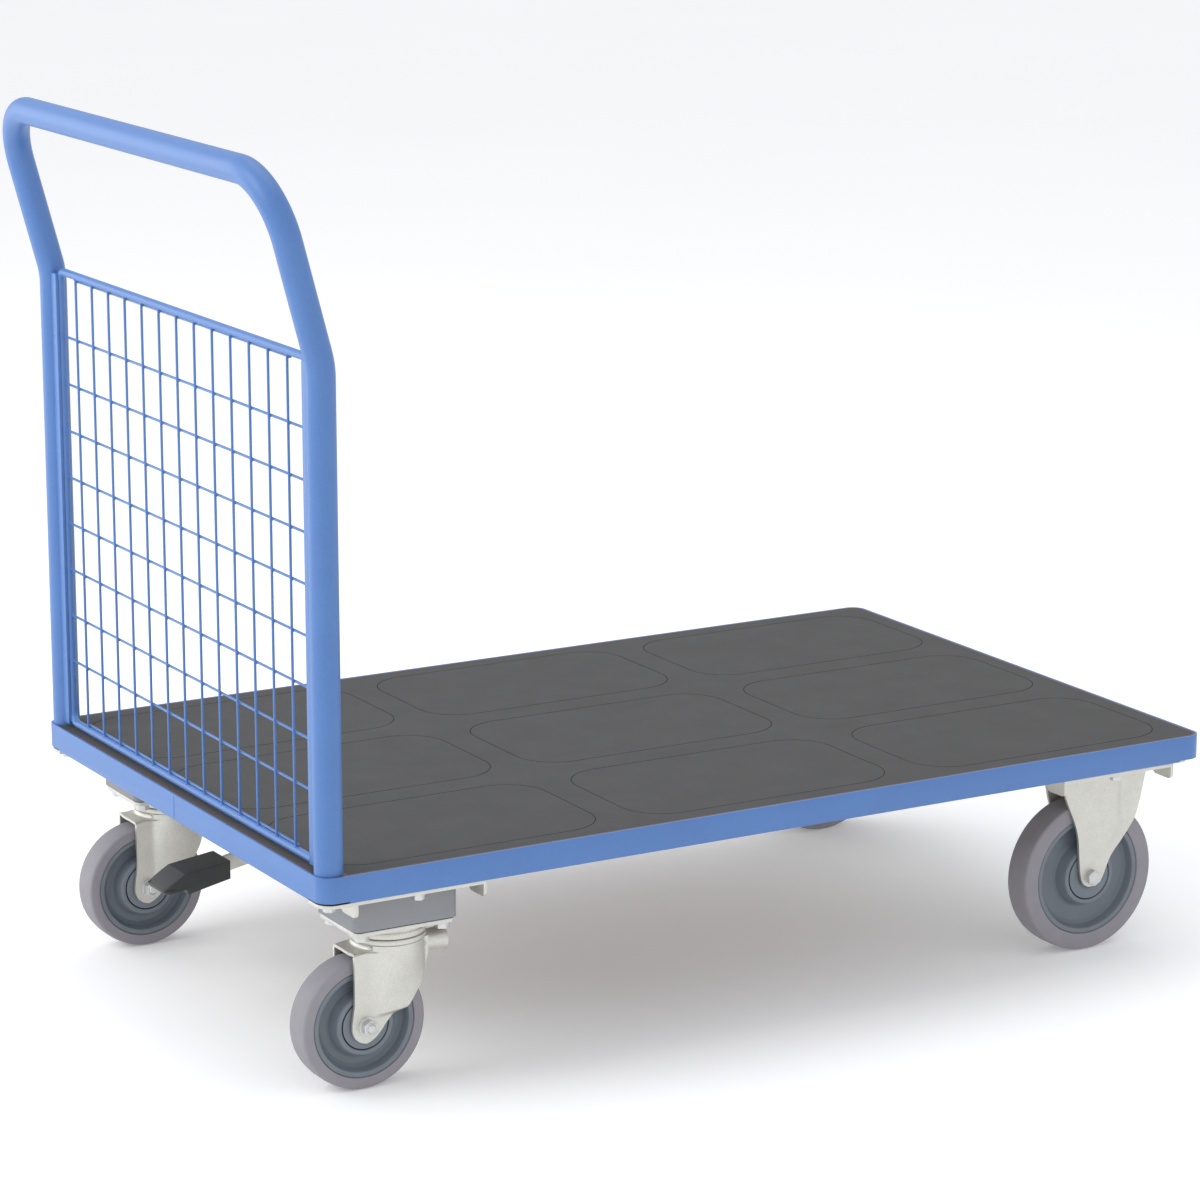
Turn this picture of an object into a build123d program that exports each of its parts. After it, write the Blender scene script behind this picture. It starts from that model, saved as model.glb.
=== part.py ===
"""Flatbed platform truck with a mesh end panel, two braked swivel casters and two fixed wheels.

Millimetres, +Z up, +X towards the free end of the deck, origin on the ground under the
middle of the overall box. Every sub-part is written to parts/NODE.step.
"""
import os
from math import cos, radians, sin, tan

from build123d import *

# ---------------------------------------------------------------- driving dimensions
# deck
DECK_LENGTH = 1250.0
DECK_WIDTH = 800.0
RIM_HEIGHT = 33.0
RIM_WALL = 3.0
RIM_FLANGE = 30.0
RIM_CORNER_R = 20.0
RIM_NOTCH = 36.0
RIM_CORNER_LIFT = 2.5
BOARD_GAP = 0.5
BOARD_LIP = 3.0
MAT_THICKNESS = 2.5
MAT_GAP = 0.4
PAD_ROWS = 3
PAD_LANE = 43.0
PAD_MARGIN = 30.0
PAD_CORNER_R = 55.0
PAD_GROOVE = 1.2
PAD_GROOVE_DEPTH = 0.5

# push handle
TUBE_D = 33.7
TUBE_WALL = 2.6
POST_INSET = 21.6
POST_INSET_X = 19.4
LEAN_HEIGHT = 585.0
HANDLE_HEIGHT = 798.0
LEAN_ANGLE = 15.0
LEAN_BEND_R = 110.0
CORNER_BEND_R = 76.0
INSERT_LENGTH = 35.0

# mesh panel
ROD_D = 10.0
WIRE_D = 3.2
ROD_TO_POST_GAP = 4.6
PANEL_FOOT = 7.0
PANEL_TOP = 590.0
ROD_BEND_R = 14.0
PANEL_INSET_X = 18.0
WIRE_PITCH_Y = 50.0
WIRE_PITCH_Z = 60.0
WIRES_UP = 13
WIRES_ACROSS = 8
FIRST_WIRE_Z = 88.0
WIRE_NUB = 3.0
STRIP_THICKNESS = 3.5
STRIP_WIDTH = 17.0
STRIP_BITE = 0.6
STRIP_FOOT = 5.0
STRIP_TOP_GAP = 3.0

# carriers under the deck
CARRIER_WIDTH = 170.0
CARRIER_SHEET = 4.0
CARRIER_FLANGE = 20.0
CARRIER_TAB = 36.5
CARRIER_END_GAP = 2.0
CARRIER_CENTRE = 128.0
FREE_CARRIER_INSET = 130.0
FIXED_AXLE_INSET = 123.5
BRACKET_LEAD = 50.0
EAR_INSET = 1.5
BOLT_EDGE = 10.0

# running gear
WHEEL_Y = 310.0
WHEEL_WIDTH = 40.0
CASTER_WHEEL_R = 80.0
FIXED_WHEEL_R = 100.0
CASTER_RUBBER = 15.0
FIXED_RUBBER = 22.5
RIM_LIP = 7.0
WEB_HALF = 7.0
CASTER_HUB_R = 36.0
FIXED_HUB_R = 37.0
CASTER_TRAIL = 41.0
TYRE_CLEARANCE = 24.2
LEG_GAP = 4.0
LEG_SHEET = 4.0
ROOF_DROP = 18.0
ROOF_LEAD = 16.5
AXLE_D = 12.0
SLEEVE_D = 20.0
BEARING_D = 47.0
BEARING_WIDTH = 14.0
HUB_END_GAP = 2.0
GUARD_THICKNESS = 2.0
RUN_FIT = 0.05

# swivel head
HOUSING_X = 135.0
HOUSING_Y = 102.0
HOUSING_Z = 47.0
HOUSING_WALL = 5.0
HOUSING_CORNER_R = 9.0
GASKET = 1.5
PLATE_INSET = 2.0
PLATE_SHEET = 5.0
PLATE_HOLES_X = 105.0
PLATE_HOLES_Y = 75.0
PLATE_BOLT_D = 10.0
RACE_D = 86.0
RACE_HEIGHT = 4.0
BEARING_RING_HEIGHT = 4.5
SWIVEL_GAP = 0.3
KINGPIN_D = 20.0
KINGPIN_BORE = 9.0
KINGPIN_HEAD_D = 30.0
KINGPIN_HEAD = 4.0

# brake
SHAFT_D = 14.0
SHAFT_OFFSET = 16.0
PEDAL_SWING = 12.0
FINGER_NOSE_R = 4.0
FINGER_WIDTH = 12.0
SHOE_SHEET = 4.5
PIN_STICKS_OUT = 6.3
PIN_NOSE_R = 3.0
SHOE_WIDTH = 36.0
SHOE_REACH = 32.5
SHOE_PIN_D = 8.0
TYRE_GAP_BRAKED = 0.6
HANGER_Y = 60.0
HANGER_SHEET = 4.0
ARM_THICKNESS = 6.0
ARM_DEPTH = 20.0
ARM_SLOPE = 11.0
PEDAL_WIDTH = 50.0
PEDAL_REAR = 60.0
PEDAL_REAR_Z = -97.0
PEDAL_TIP = -28.5
PEDAL_RIDGE = 0.0
ARM_TENON = 55.0
ARM_SHOULDER = 5.0
ARM_HUB_R = 14.0

# fasteners
M8_HEAD = 13.0
M8_HEAD_H = 5.5
M10_HEAD = 16.0
M10_HEAD_H = 6.4
M12_HEAD = 18.0
M12_HEAD_H = 7.5
WASHER = 1.6
BOLT_GAP = 0.2

# ---------------------------------------------------------------- places worked out from them
# heights below are measured from the deck's top
RIM_BOTTOM = -RIM_HEIGHT
BOARD_BOTTOM = RIM_BOTTOM + RIM_WALL
WEB_BOTTOM = RIM_BOTTOM - CARRIER_SHEET
HOUSING_BOTTOM = WEB_BOTTOM - HOUSING_Z
PLATE_TOP = HOUSING_BOTTOM - GASKET
PLATE_BOTTOM = PLATE_TOP - PLATE_SHEET
RACE_BOTTOM = PLATE_BOTTOM - RACE_HEIGHT
RING_BOTTOM = RACE_BOTTOM - BEARING_RING_HEIGHT
CROWN_TOP = RING_BOTTOM - SWIVEL_GAP
CROWN_BOTTOM = CROWN_TOP - LEG_SHEET
DECK_HEIGHT = 2 * CASTER_WHEEL_R + TYRE_CLEARANCE - CROWN_BOTTOM
# the handle and the overall length
LEAN_RUN = (HANDLE_HEIGHT - LEAN_HEIGHT) * tan(radians(LEAN_ANGLE))
HANDLE_TOP_X = POST_INSET_X - LEAN_RUN
X0 = -(DECK_LENGTH + HANDLE_TOP_X - TUBE_D / 2) / 2
Z0 = DECK_HEIGHT
POST_Y = DECK_WIDTH / 2 - POST_INSET
# running gear
FREE_CARRIER_X = DECK_LENGTH - FREE_CARRIER_INSET
SWIVEL_X = CARRIER_CENTRE
CASTER_AXLE_X = SWIVEL_X - CASTER_TRAIL
CASTER_AXLE_Z = CASTER_WHEEL_R - DECK_HEIGHT
FIXED_AXLE_X = DECK_LENGTH - FIXED_AXLE_INSET
FIXED_AXLE_Z = FIXED_WHEEL_R - DECK_HEIGHT
FIXED_PLATE_X = FIXED_AXLE_X - BRACKET_LEAD + HOUSING_X / 2
LEG_IN = WHEEL_WIDTH / 2 + LEG_GAP
LEG_OUT = LEG_IN + LEG_SHEET
HUB_HALF = LEG_IN - HUB_END_GAP
# brake
SHAFT_X = SWIVEL_X + SHAFT_OFFSET
SHAFT_Z = (WEB_BOTTOM + HOUSING_BOTTOM) / 2
SHAFT_END = WHEEL_Y + HOUSING_Y / 2 - 1.5
PIN_TOP = SHAFT_Z - FINGER_NOSE_R - SWIVEL_GAP
PIN_BOTTOM = CROWN_BOTTOM - KINGPIN_HEAD - PIN_STICKS_OUT
SHOE_TOP = PIN_BOTTOM - SWIVEL_GAP
SHOE_PIN_X = SWIVEL_X + SHOE_REACH
SHOE_PIN_Z = SHOE_TOP - SHOE_SHEET
SHOE_SWING = PEDAL_SWING * SHAFT_OFFSET / SHOE_REACH
SIDES = {"left": 1, "right": -1}


def at(shape, x=0.0, y=0.0, z=0.0):
    """Place a shape given from the handle-end edge, the centre plane and the deck's top."""
    return Pos(X0 + x, y, Z0 + z) * shape


def block(x_min, x_max, y_min, y_max, z_min, z_max):
    """Box between six planes."""
    size = Box(x_max - x_min, y_max - y_min, z_max - z_min)
    return Pos((x_min + x_max) / 2, (y_min + y_max) / 2, (z_min + z_max) / 2) * size


def slab(length, width, corner, z_min, z_max, x=0.0, y=0.0):
    """Rounded rectangular plate."""
    face = RectangleRounded(length, width, corner)
    return Pos(x, y, z_min) * extrude(face, z_max - z_min)


def rod(radius, z_min, z_max, x=0.0, y=0.0):
    """Upright cylinder between two heights."""
    return Pos(x, y, (z_min + z_max) / 2) * Cylinder(radius, z_max - z_min)


def cross_rod(radius, y_min, y_max, x=0.0, z=0.0):
    """Cylinder along Y between two planes."""
    return Pos(x, (y_min + y_max) / 2, z) * Rot(90, 0, 0) * Cylinder(radius, y_max - y_min)


def hex_head(across, height, z_top, x=0.0, y=0.0):
    """Hexagonal head or nut whose top face is at z_top."""
    face = RegularPolygon(across / 2, 6, major_radius=False)
    return Pos(x, y, z_top - height) * extrude(face, height)


def bolt_up(size, head, head_height, z_seat, z_tip, x, y):
    """Bolt put in from below: its head bears on z_seat from underneath."""
    return hex_head(head, head_height, z_seat, x, y) + rod(size / 2, z_seat - 1, z_tip, x, y)


def side_plate(points, y_min, y_max):
    """Plate in the XZ plane from a closed outline, between two Y planes."""
    face = make_face(Polyline(*points, close=True))
    return Pos(0, y_max, 0) * extrude(Plane.XZ * face, y_max - y_min)


def group(shapes):
    """Several separate solids kept as one node."""
    solids = [s for shape in shapes for s in shape.solids()]
    return Compound(children=solids)


def corner_points():
    """The four bolting points at the deck's corners."""
    ends = (POST_INSET_X, DECK_LENGTH - POST_INSET_X)
    return [(x, side * POST_Y) for x in ends for side in SIDES.values()]


def rim_bolt_points():
    """Where each carrier's web is bolted up through the rim's bottom flange."""
    y = DECK_WIDTH / 2 - BOLT_EDGE
    return [(x, side * y) for x in (CARRIER_CENTRE, FREE_CARRIER_X) for side in SIDES.values()]


def plate_holes(x):
    """Bolt pattern of a wheel plate centred at x, at both sides of the truck."""
    points = []
    for side in SIDES.values():
        for i in (-1, 1):
            for j in (-1, 1):
                points.append((x + i * PLATE_HOLES_X / 2, side * WHEEL_Y + j * PLATE_HOLES_Y / 2))
    return points


# ---------------------------------------------------------------- deck
def rim_frame():
    """Bent steel edge: upright wall, shorter at the corners, where the flange is cut away."""
    mid = DECK_LENGTH / 2
    outer = slab(DECK_LENGTH, DECK_WIDTH, RIM_CORNER_R, RIM_BOTTOM, 0, mid)
    lower_edges = outer.faces().sort_by(Axis.Z)[0].edges()
    outer = fillet(lower_edges, RIM_WALL * 0.8)
    inside = slab(DECK_LENGTH - 2 * RIM_WALL, DECK_WIDTH - 2 * RIM_WALL,
                  RIM_CORNER_R - RIM_WALL, RIM_BOTTOM - 1, 1, mid)
    pocket = inside & block(0, DECK_LENGTH, -DECK_WIDTH, DECK_WIDTH, BOARD_BOTTOM, 1)
    window = slab(DECK_LENGTH - 2 * RIM_FLANGE, DECK_WIDTH - 2 * RIM_FLANGE, 6,
                  RIM_BOTTOM - 1, 1, mid)
    body = outer - pocket - window
    for x in (0, DECK_LENGTH - RIM_NOTCH):
        for y in (-DECK_WIDTH / 2, DECK_WIDTH / 2 - RIM_NOTCH):
            corner = block(x, x + RIM_NOTCH, y, y + RIM_NOTCH, RIM_BOTTOM - 1, BOARD_BOTTOM + 1)
            body -= corner & inside
            body -= block(x, x + RIM_NOTCH, y, y + RIM_NOTCH, RIM_BOTTOM - 1,
                          RIM_BOTTOM + RIM_CORNER_LIFT)
    for x, y in rim_bolt_points():
        body -= rod(4 + BOLT_GAP, RIM_BOTTOM - 1, BOARD_BOTTOM + 1, x, y)
    return body


def board_outline(inset, z_min, z_max):
    """Rounded slab inside the rim, set in by the given amount."""
    inset += RIM_WALL + BOARD_GAP
    return slab(DECK_LENGTH - 2 * inset, DECK_WIDTH - 2 * inset, RIM_CORNER_R - inset,
                z_min, z_max, DECK_LENGTH / 2)


def post_foot(side, margin, z_min, z_max):
    """The patch under a handle post, open to the deck's corner."""
    radius = TUBE_D / 2 + margin
    y_mid = side * POST_Y
    y_out = side * DECK_WIDTH / 2
    patch = rod(radius, z_min, z_max, POST_INSET_X, y_mid)
    ends = sorted((y_mid, y_out))
    patch += block(0, POST_INSET_X + radius, ends[0], ends[1], z_min, z_max)
    ends = sorted((y_mid - side * radius, y_out))
    return patch + block(0, POST_INSET_X, ends[0], ends[1], z_min, z_max)


def deck_board():
    """Plywood board on the rim's flange; a shallow bed for the mat spares the handle's feet."""
    bed = board_outline(BOARD_LIP, -MAT_THICKNESS, 1)
    for side in SIDES.values():
        bed -= post_foot(side, 0, -MAT_THICKNESS - 1, 2)
    body = board_outline(0, BOARD_BOTTOM, 0) - bed
    for x, y in corner_points():
        body -= rod(4 + BOLT_GAP, BOARD_BOTTOM - 1, 1, x, y)
    for x, y in rim_bolt_points():
        body -= rod(4 + BOLT_GAP, BOARD_BOTTOM - 1, BOARD_BOTTOM + 18, x, y)
    return body


def deck_mat():
    """Mat let into the board, with outlined pads and a cut-out round each handle post."""
    body = board_outline(BOARD_LIP + MAT_GAP, -MAT_THICKNESS, 0)
    pad_x = (DECK_LENGTH - 2 * PAD_MARGIN - (PAD_ROWS - 1) * PAD_LANE) / PAD_ROWS
    pad_y = (DECK_WIDTH - 2 * PAD_MARGIN - (PAD_ROWS - 1) * PAD_LANE) / PAD_ROWS
    for i in range(PAD_ROWS):
        for j in range(PAD_ROWS):
            x = PAD_MARGIN + pad_x / 2 + i * (pad_x + PAD_LANE)
            y = (j - (PAD_ROWS - 1) / 2) * (pad_y + PAD_LANE)
            ring = slab(pad_x, pad_y, PAD_CORNER_R, -PAD_GROOVE_DEPTH, 1, x, y)
            ring -= slab(pad_x - 2 * PAD_GROOVE, pad_y - 2 * PAD_GROOVE,
                         PAD_CORNER_R - PAD_GROOVE, -PAD_GROOVE_DEPTH - 1, 2, x, y)
            body -= ring
    for side in SIDES.values():
        body -= post_foot(side, MAT_GAP, -MAT_THICKNESS - 1, 1)
    for side in SIDES.values():
        body -= rod(4 + BOLT_GAP, -MAT_THICKNESS - 1, -MAT_THICKNESS + 1,
                    DECK_LENGTH - POST_INSET_X, side * POST_Y)
    return body


# ---------------------------------------------------------------- push handle and mesh panel
def handle_path():
    """Centreline of the handle from one foot over the top to the other foot."""
    half = [(POST_INSET_X, 0), (POST_INSET_X, LEAN_HEIGHT), (HANDLE_TOP_X, HANDLE_HEIGHT)]
    points = [(x, -POST_Y, z) for x, z in half]
    points += [(x, POST_Y, z) for x, z in reversed(half)]
    radii = [LEAN_BEND_R, CORNER_BEND_R, CORNER_BEND_R, LEAN_BEND_R]
    return FilletPolyline(*points, radius=radii)


def handle_foot():
    """Plane across the handle's first foot."""
    return Plane((POST_INSET_X, -POST_Y, 0))


def handle_tube():
    """One bent tube."""
    path = handle_path()
    outer = sweep(handle_foot() * Circle(TUBE_D / 2), path=path)
    inner = sweep(handle_foot() * Circle(TUBE_D / 2 - TUBE_WALL), path=path)
    return outer - inner


def handle_inserts():
    """Threaded plugs fixed inside the feet of the two posts."""
    plugs = []
    for side in SIDES.values():
        x, y = POST_INSET_X, side * POST_Y
        plug = rod(TUBE_D / 2 - TUBE_WALL, 0, INSERT_LENGTH, x, y)
        plugs.append(plug - rod(4, -1, INSERT_LENGTH - 5, x, y))
    return group(plugs)


def rod_half_width():
    """Distance of the border rod's side centrelines from the truck's centre plane."""
    return POST_Y - TUBE_D / 2 - ROD_TO_POST_GAP - ROD_D / 2


def border_rod():
    """Round rod bent into a closed rectangle."""
    height = PANEL_TOP - PANEL_FOOT
    frame = Plane((PANEL_INSET_X, 0, (PANEL_TOP + PANEL_FOOT) / 2), x_dir=(0, 1, 0), z_dir=(1, 0, 0))
    outline = (frame * RectangleRounded(2 * rod_half_width(), height, ROD_BEND_R)).face()
    path = outline.outer_wire()
    start = Plane(origin=path @ 0, z_dir=path % 0)
    return sweep(start * Circle(ROD_D / 2), path=path)


def wires_up(border):
    """Upright wires, welded to the handle side of the wires that cross them."""
    x = PANEL_INSET_X - WIRE_D / 2
    wires = []
    for i in range(WIRES_UP):
        y = (i - (WIRES_UP - 1) / 2) * WIRE_PITCH_Y
        wires.append(rod(WIRE_D / 2, PANEL_FOOT, PANEL_TOP, x, y))
    return group([wire - border for wire in wires])


def wires_across(border):
    """Level wires: full ones between the side rods, short ones along the top and bottom rods."""
    x = PANEL_INSET_X + WIRE_D / 2
    span = rod_half_width()
    short = (WIRES_UP - 1) / 2 * WIRE_PITCH_Y + WIRE_NUB
    wires = []
    for i in range(WIRES_ACROSS):
        wires.append(cross_rod(WIRE_D / 2, -span, span, x, FIRST_WIRE_Z + i * WIRE_PITCH_Z) - border)
    low = PANEL_FOOT + ROD_D / 2 + WIRE_D / 2
    high = PANEL_TOP - ROD_D / 2 - WIRE_D / 2
    for z in (low, high):
        wires.append(cross_rod(WIRE_D / 2, -short, short, x, z))
    return group(wires)


def mesh_strips(border):
    """Flat strips that tie the border rod to the posts."""
    bar = sweep(handle_foot() * Circle(TUBE_D / 2), path=handle_path())
    strips = []
    inner = rod_half_width() - STRIP_THICKNESS
    x_max = PANEL_INSET_X - ROD_D / 2 + STRIP_BITE
    for side in SIDES.values():
        y_in = side * inner
        y_out = side * (inner + STRIP_WIDTH)
        strip = block(x_max - STRIP_THICKNESS, x_max, min(y_in, y_out), max(y_in, y_out),
                      STRIP_FOOT, PANEL_TOP - STRIP_TOP_GAP)
        strips.append((strip - border) - bar)
    return group(strips)


# ---------------------------------------------------------------- carriers
def carrier(x, ears):
    """Folded sheet across the deck; its edges are turned down except beside the wheel plates."""
    half_x = CARRIER_WIDTH / 2
    half_y = DECK_WIDTH / 2 - CARRIER_END_GAP
    low = RIM_BOTTOM - CARRIER_FLANGE
    body = block(x - half_x, x + half_x, -half_y, half_y, WEB_BOTTOM, RIM_BOTTOM)
    inner_y = WHEEL_Y - HOUSING_Y / 2 - 12
    spans = [(-half_y, -half_y + CARRIER_TAB), (-inner_y, inner_y), (half_y - CARRIER_TAB, half_y)]
    for side in (-1, 1):
        edge = x + side * half_x
        inside = edge - side * CARRIER_SHEET
        for y_min, y_max in spans:
            wall = block(min(edge, inside), max(edge, inside), y_min, y_max, low, RIM_BOTTOM)
            corners = wall.edges().filter_by(Axis.X).group_by(Axis.Z)[0]
            body += fillet(corners, 6)
    if ears:
        for side in SIDES.values():
            ear_y = side * (half_y - CARRIER_TAB)
            rim_y = side * (DECK_WIDTH / 2 - EAR_INSET)
            ear = block(EAR_INSET, x - half_x + 1, min(ear_y, rim_y), max(ear_y, rim_y),
                        WEB_BOTTOM, RIM_BOTTOM)
            corner = ear.edges().filter_by(Axis.Z).sort_by(Axis.X)[:2].sort_by(Axis.Y)
            corner = corner[-1] if side > 0 else corner[0]
            body += fillet(corner, RIM_CORNER_R - EAR_INSET)
    for bolt_x, bolt_y in rim_bolt_points() + corner_points():
        body -= rod(4 + BOLT_GAP, WEB_BOTTOM - 1, RIM_BOTTOM + 1, bolt_x, bolt_y)
    for bolt_x, bolt_y in plate_holes(SWIVEL_X) + plate_holes(FIXED_PLATE_X):
        body -= rod(PLATE_BOLT_D / 2 + BOLT_GAP, WEB_BOTTOM - 1, RIM_BOTTOM + 1, bolt_x, bolt_y)
    return body


def corner_bolts():
    """Bolts under the deck's corners: into the post inserts, and into the board at the free end."""
    bolts = []
    for x, y in corner_points():
        at_post = x < DECK_LENGTH / 2
        seat = WEB_BOTTOM if at_post else BOARD_BOTTOM
        tip = INSERT_LENGTH - 12 if at_post else -MAT_THICKNESS - 0.5
        washer = rod(8, seat - WASHER, seat, x, y)
        bolts.append(bolt_up(8, M8_HEAD, M8_HEAD_H, seat - WASHER, tip, x, y) + washer)
    return group(bolts)


def rim_bolts():
    """Bolts that hold the carriers to the rim and the board."""
    bolts = []
    for x, y in rim_bolt_points():
        bolts.append(bolt_up(8, M8_HEAD, M8_HEAD_H, WEB_BOTTOM, BOARD_BOTTOM + 17, x, y))
    return group(bolts)


# ---------------------------------------------------------------- wheels
def wheel_tyre(radius, core_radius):
    """Solid rubber tyre with a slightly crowned tread and sloping shoulders."""
    half = WHEEL_WIDTH / 2
    shoulder = radius - 5.5
    profile = Polyline((core_radius, -half + 1), (core_radius + 3, -half), (shoulder, -half + 0.6),
                       (radius - 1, -half + 6.5))
    other = mirror(profile, Plane.XZ)
    tread = ThreePointArc((radius - 1, -half + 6.5), (radius, 0), (radius - 1, half - 6.5))
    inner = Line((core_radius, -half + 1), (core_radius, half - 1))
    face = make_face([*profile.edges(), tread, *other.edges(), inner])
    return revolve(face, Axis.Y)


def wheel_core(radius, hub_radius):
    """Moulded wheel centre: rim, dished web and hub, bored for two bearings."""
    half = WHEEL_WIDTH / 2 - 1
    lip = radius - RIM_LIP
    slope = (lip - hub_radius) / 4
    bore = BEARING_D / 2
    points = [(bore, -HUB_HALF), (hub_radius, -HUB_HALF), (hub_radius + slope / 2, -HUB_HALF + 4),
              (hub_radius + slope, -WEB_HALF), (lip - slope, -WEB_HALF), (lip, -half + 5),
              (lip, -half), (radius, -half)]
    points += [(x, -y) for x, y in reversed(points)]
    face = make_face(Polyline(*points, close=True))
    body = revolve(face, Axis.Y)
    shelf = HUB_HALF - GUARD_THICKNESS - BEARING_WIDTH
    stop = cross_rod(bore, -shelf, shelf) - cross_rod(SLEEVE_D / 2 + 3, -shelf - 1, shelf + 1)
    guard_r = hub_radius - 6
    for side in (-1, 1):
        outer = side * (HUB_HALF + 1)
        inner = side * (HUB_HALF - GUARD_THICKNESS)
        body -= cross_rod(guard_r + 0.4, min(outer, inner), max(outer, inner))
    return body + stop


def wheel_bearings():
    """Two ball bearings, each drawn as one ring."""
    rings = []
    inner = HUB_HALF - GUARD_THICKNESS - BEARING_WIDTH
    outer = HUB_HALF - GUARD_THICKNESS
    for side in (-1, 1):
        low = min(side * inner, side * outer)
        high = max(side * inner, side * outer)
        ring = cross_rod(BEARING_D / 2, low, high)
        rings.append(ring - cross_rod(SLEEVE_D / 2 + RUN_FIT, low - 1, high + 1))
    return rings


def thread_guards(hub_radius):
    """Discs that close the hub round the axle on each side."""
    discs = []
    for side in (-1, 1):
        a = side * HUB_HALF
        b = side * (HUB_HALF - GUARD_THICKNESS)
        disc = cross_rod(hub_radius - 6, min(a, b), max(a, b))
        discs.append(disc - cross_rod(SLEEVE_D / 2 + RUN_FIT, -HUB_HALF - 1, HUB_HALF + 1))
    return discs


def axle_set(head_side):
    """Axle bolt, nut with washer, and the spacer sleeve between the legs; centred on the axle."""
    sleeve = cross_rod(SLEEVE_D / 2, -LEG_IN, LEG_IN)
    sleeve -= cross_rod(AXLE_D / 2 + BOLT_GAP, -LEG_IN - 1, LEG_IN + 1)
    hexagon = Rot(90, 0, 0) * extrude(RegularPolygon(M12_HEAD / 2, 6, major_radius=False), 1)
    nut_height = M12_HEAD_H + 2
    nut_face = LEG_OUT + WASHER
    bolt = Pos(0, -LEG_OUT, 0) * scale(hexagon, by=(1, M12_HEAD_H, 1))
    bolt += cross_rod(AXLE_D / 2, -LEG_OUT - 1, nut_face + nut_height + 3)
    nut = Pos(0, nut_face + nut_height, 0) * scale(hexagon, by=(1, nut_height, 1))
    nut += cross_rod(AXLE_D, LEG_OUT, nut_face)
    nut -= cross_rod(AXLE_D / 2, 0, 2 * nut_face)
    turn = Rot(0, 0, 0 if head_side < 0 else 180)
    return [turn * sleeve, turn * bolt, turn * nut]


# ---------------------------------------------------------------- fixed brackets
def fixed_bracket():
    """Pressed bracket: plate bolted under the carrier and two tapering legs; X, Z from the deck."""
    top = WEB_BOTTOM
    x, z = FIXED_AXLE_X, FIXED_AXLE_Z
    toe = 19.0
    outline = [(x - 49, top), (x - 49, top - 6), (x - 37, top - 52), (x - 24, top - 84),
               (x - toe, z + 8), (x - toe * 0.8, z - 6), (x - toe * 0.35, z - 12),
               (x + toe * 0.5, z - 13), (x + toe * 0.9, z - 5), (x + 30, z + 26),
               (x + 47, z + 42), (x + 65, z + 71), (x + 83, top - 14), (x + 83, top)]
    plate_x = FIXED_PLATE_X
    body = slab(HOUSING_X, HOUSING_Y, HOUSING_CORNER_R, top - LEG_SHEET, top, plate_x)
    for side in (-1, 1):
        a = side * LEG_IN
        b = side * LEG_OUT
        leg = side_plate(outline, min(a, b), max(a, b))
        leg -= cross_rod(AXLE_D / 2 + BOLT_GAP, -LEG_OUT - 1, LEG_OUT + 1, x, z)
        leg -= cross_rod(2.5, -LEG_OUT - 1, LEG_OUT + 1, plate_x - 2, top - 24)
        body += leg
    drilled = drill_plate(Pos(-plate_x, 0, 0) * body, top - LEG_SHEET - 1, top + 1)
    return Pos(plate_x, 0, 0) * drilled


# ---------------------------------------------------------------- swivel casters
def spacer_housing():
    """Hollow housing between carrier and caster plate; the brake finger works inside it."""
    inner_x = HOUSING_X - 2 * HOUSING_WALL
    inner_y = HOUSING_Y - 2 * HOUSING_WALL
    body = slab(HOUSING_X, HOUSING_Y, HOUSING_CORNER_R, HOUSING_BOTTOM, WEB_BOTTOM)
    cavity = slab(inner_x, inner_y, HOUSING_CORNER_R - HOUSING_WALL, HOUSING_BOTTOM - 1,
                  WEB_BOTTOM - HOUSING_WALL)
    for i in (-1, 1):
        for j in (-1, 1):
            x = sorted((i * (PLATE_HOLES_X / 2 - PLATE_BOLT_D), i * HOUSING_X / 2))
            y = sorted((j * (PLATE_HOLES_Y / 2 - PLATE_BOLT_D), j * HOUSING_Y / 2))
            cavity -= block(x[0], x[1], y[0], y[1], HOUSING_BOTTOM - 2, WEB_BOTTOM)
    body -= cavity
    for i in (-1, 1):
        for j in (-1, 1):
            body -= rod(PLATE_BOLT_D / 2 + BOLT_GAP, HOUSING_BOTTOM - 1, WEB_BOTTOM + 1,
                        i * PLATE_HOLES_X / 2, j * PLATE_HOLES_Y / 2)
    return Pos(SWIVEL_X, 0, 0) * body


def shaft_holes(housing, side):
    """Bearing holes for the brake shaft: through the inner wall and blind in the outer wall."""
    body = Pos(0, side * WHEEL_Y, 0) * housing
    inner = WHEEL_Y - HOUSING_Y / 2 - 1
    ends = sorted((side * inner, side * (SHAFT_END + 0.5)))
    return body - cross_rod(SHAFT_D / 2 + RUN_FIT, ends[0], ends[1], SHAFT_X, SHAFT_Z)


def gasket():
    """Rubber sheet between the housing and the caster plate."""
    body = slab(HOUSING_X - 2 * PLATE_INSET, HOUSING_Y - 2 * PLATE_INSET, HOUSING_CORNER_R - 1,
                PLATE_TOP, HOUSING_BOTTOM)
    body -= rod(KINGPIN_D / 2 + 1, PLATE_TOP - 1, HOUSING_BOTTOM + 1)
    return Pos(SWIVEL_X, 0, 0) * drill_plate(body, PLATE_TOP - 1, HOUSING_BOTTOM + 1)


def drill_plate(body, z_min, z_max):
    """Cut the four bolt holes of a wheel plate that is centred on the Z axis."""
    for i in (-1, 1):
        for j in (-1, 1):
            body -= rod(PLATE_BOLT_D / 2 + BOLT_GAP, z_min, z_max,
                        i * PLATE_HOLES_X / 2, j * PLATE_HOLES_Y / 2)
    return body


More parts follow.
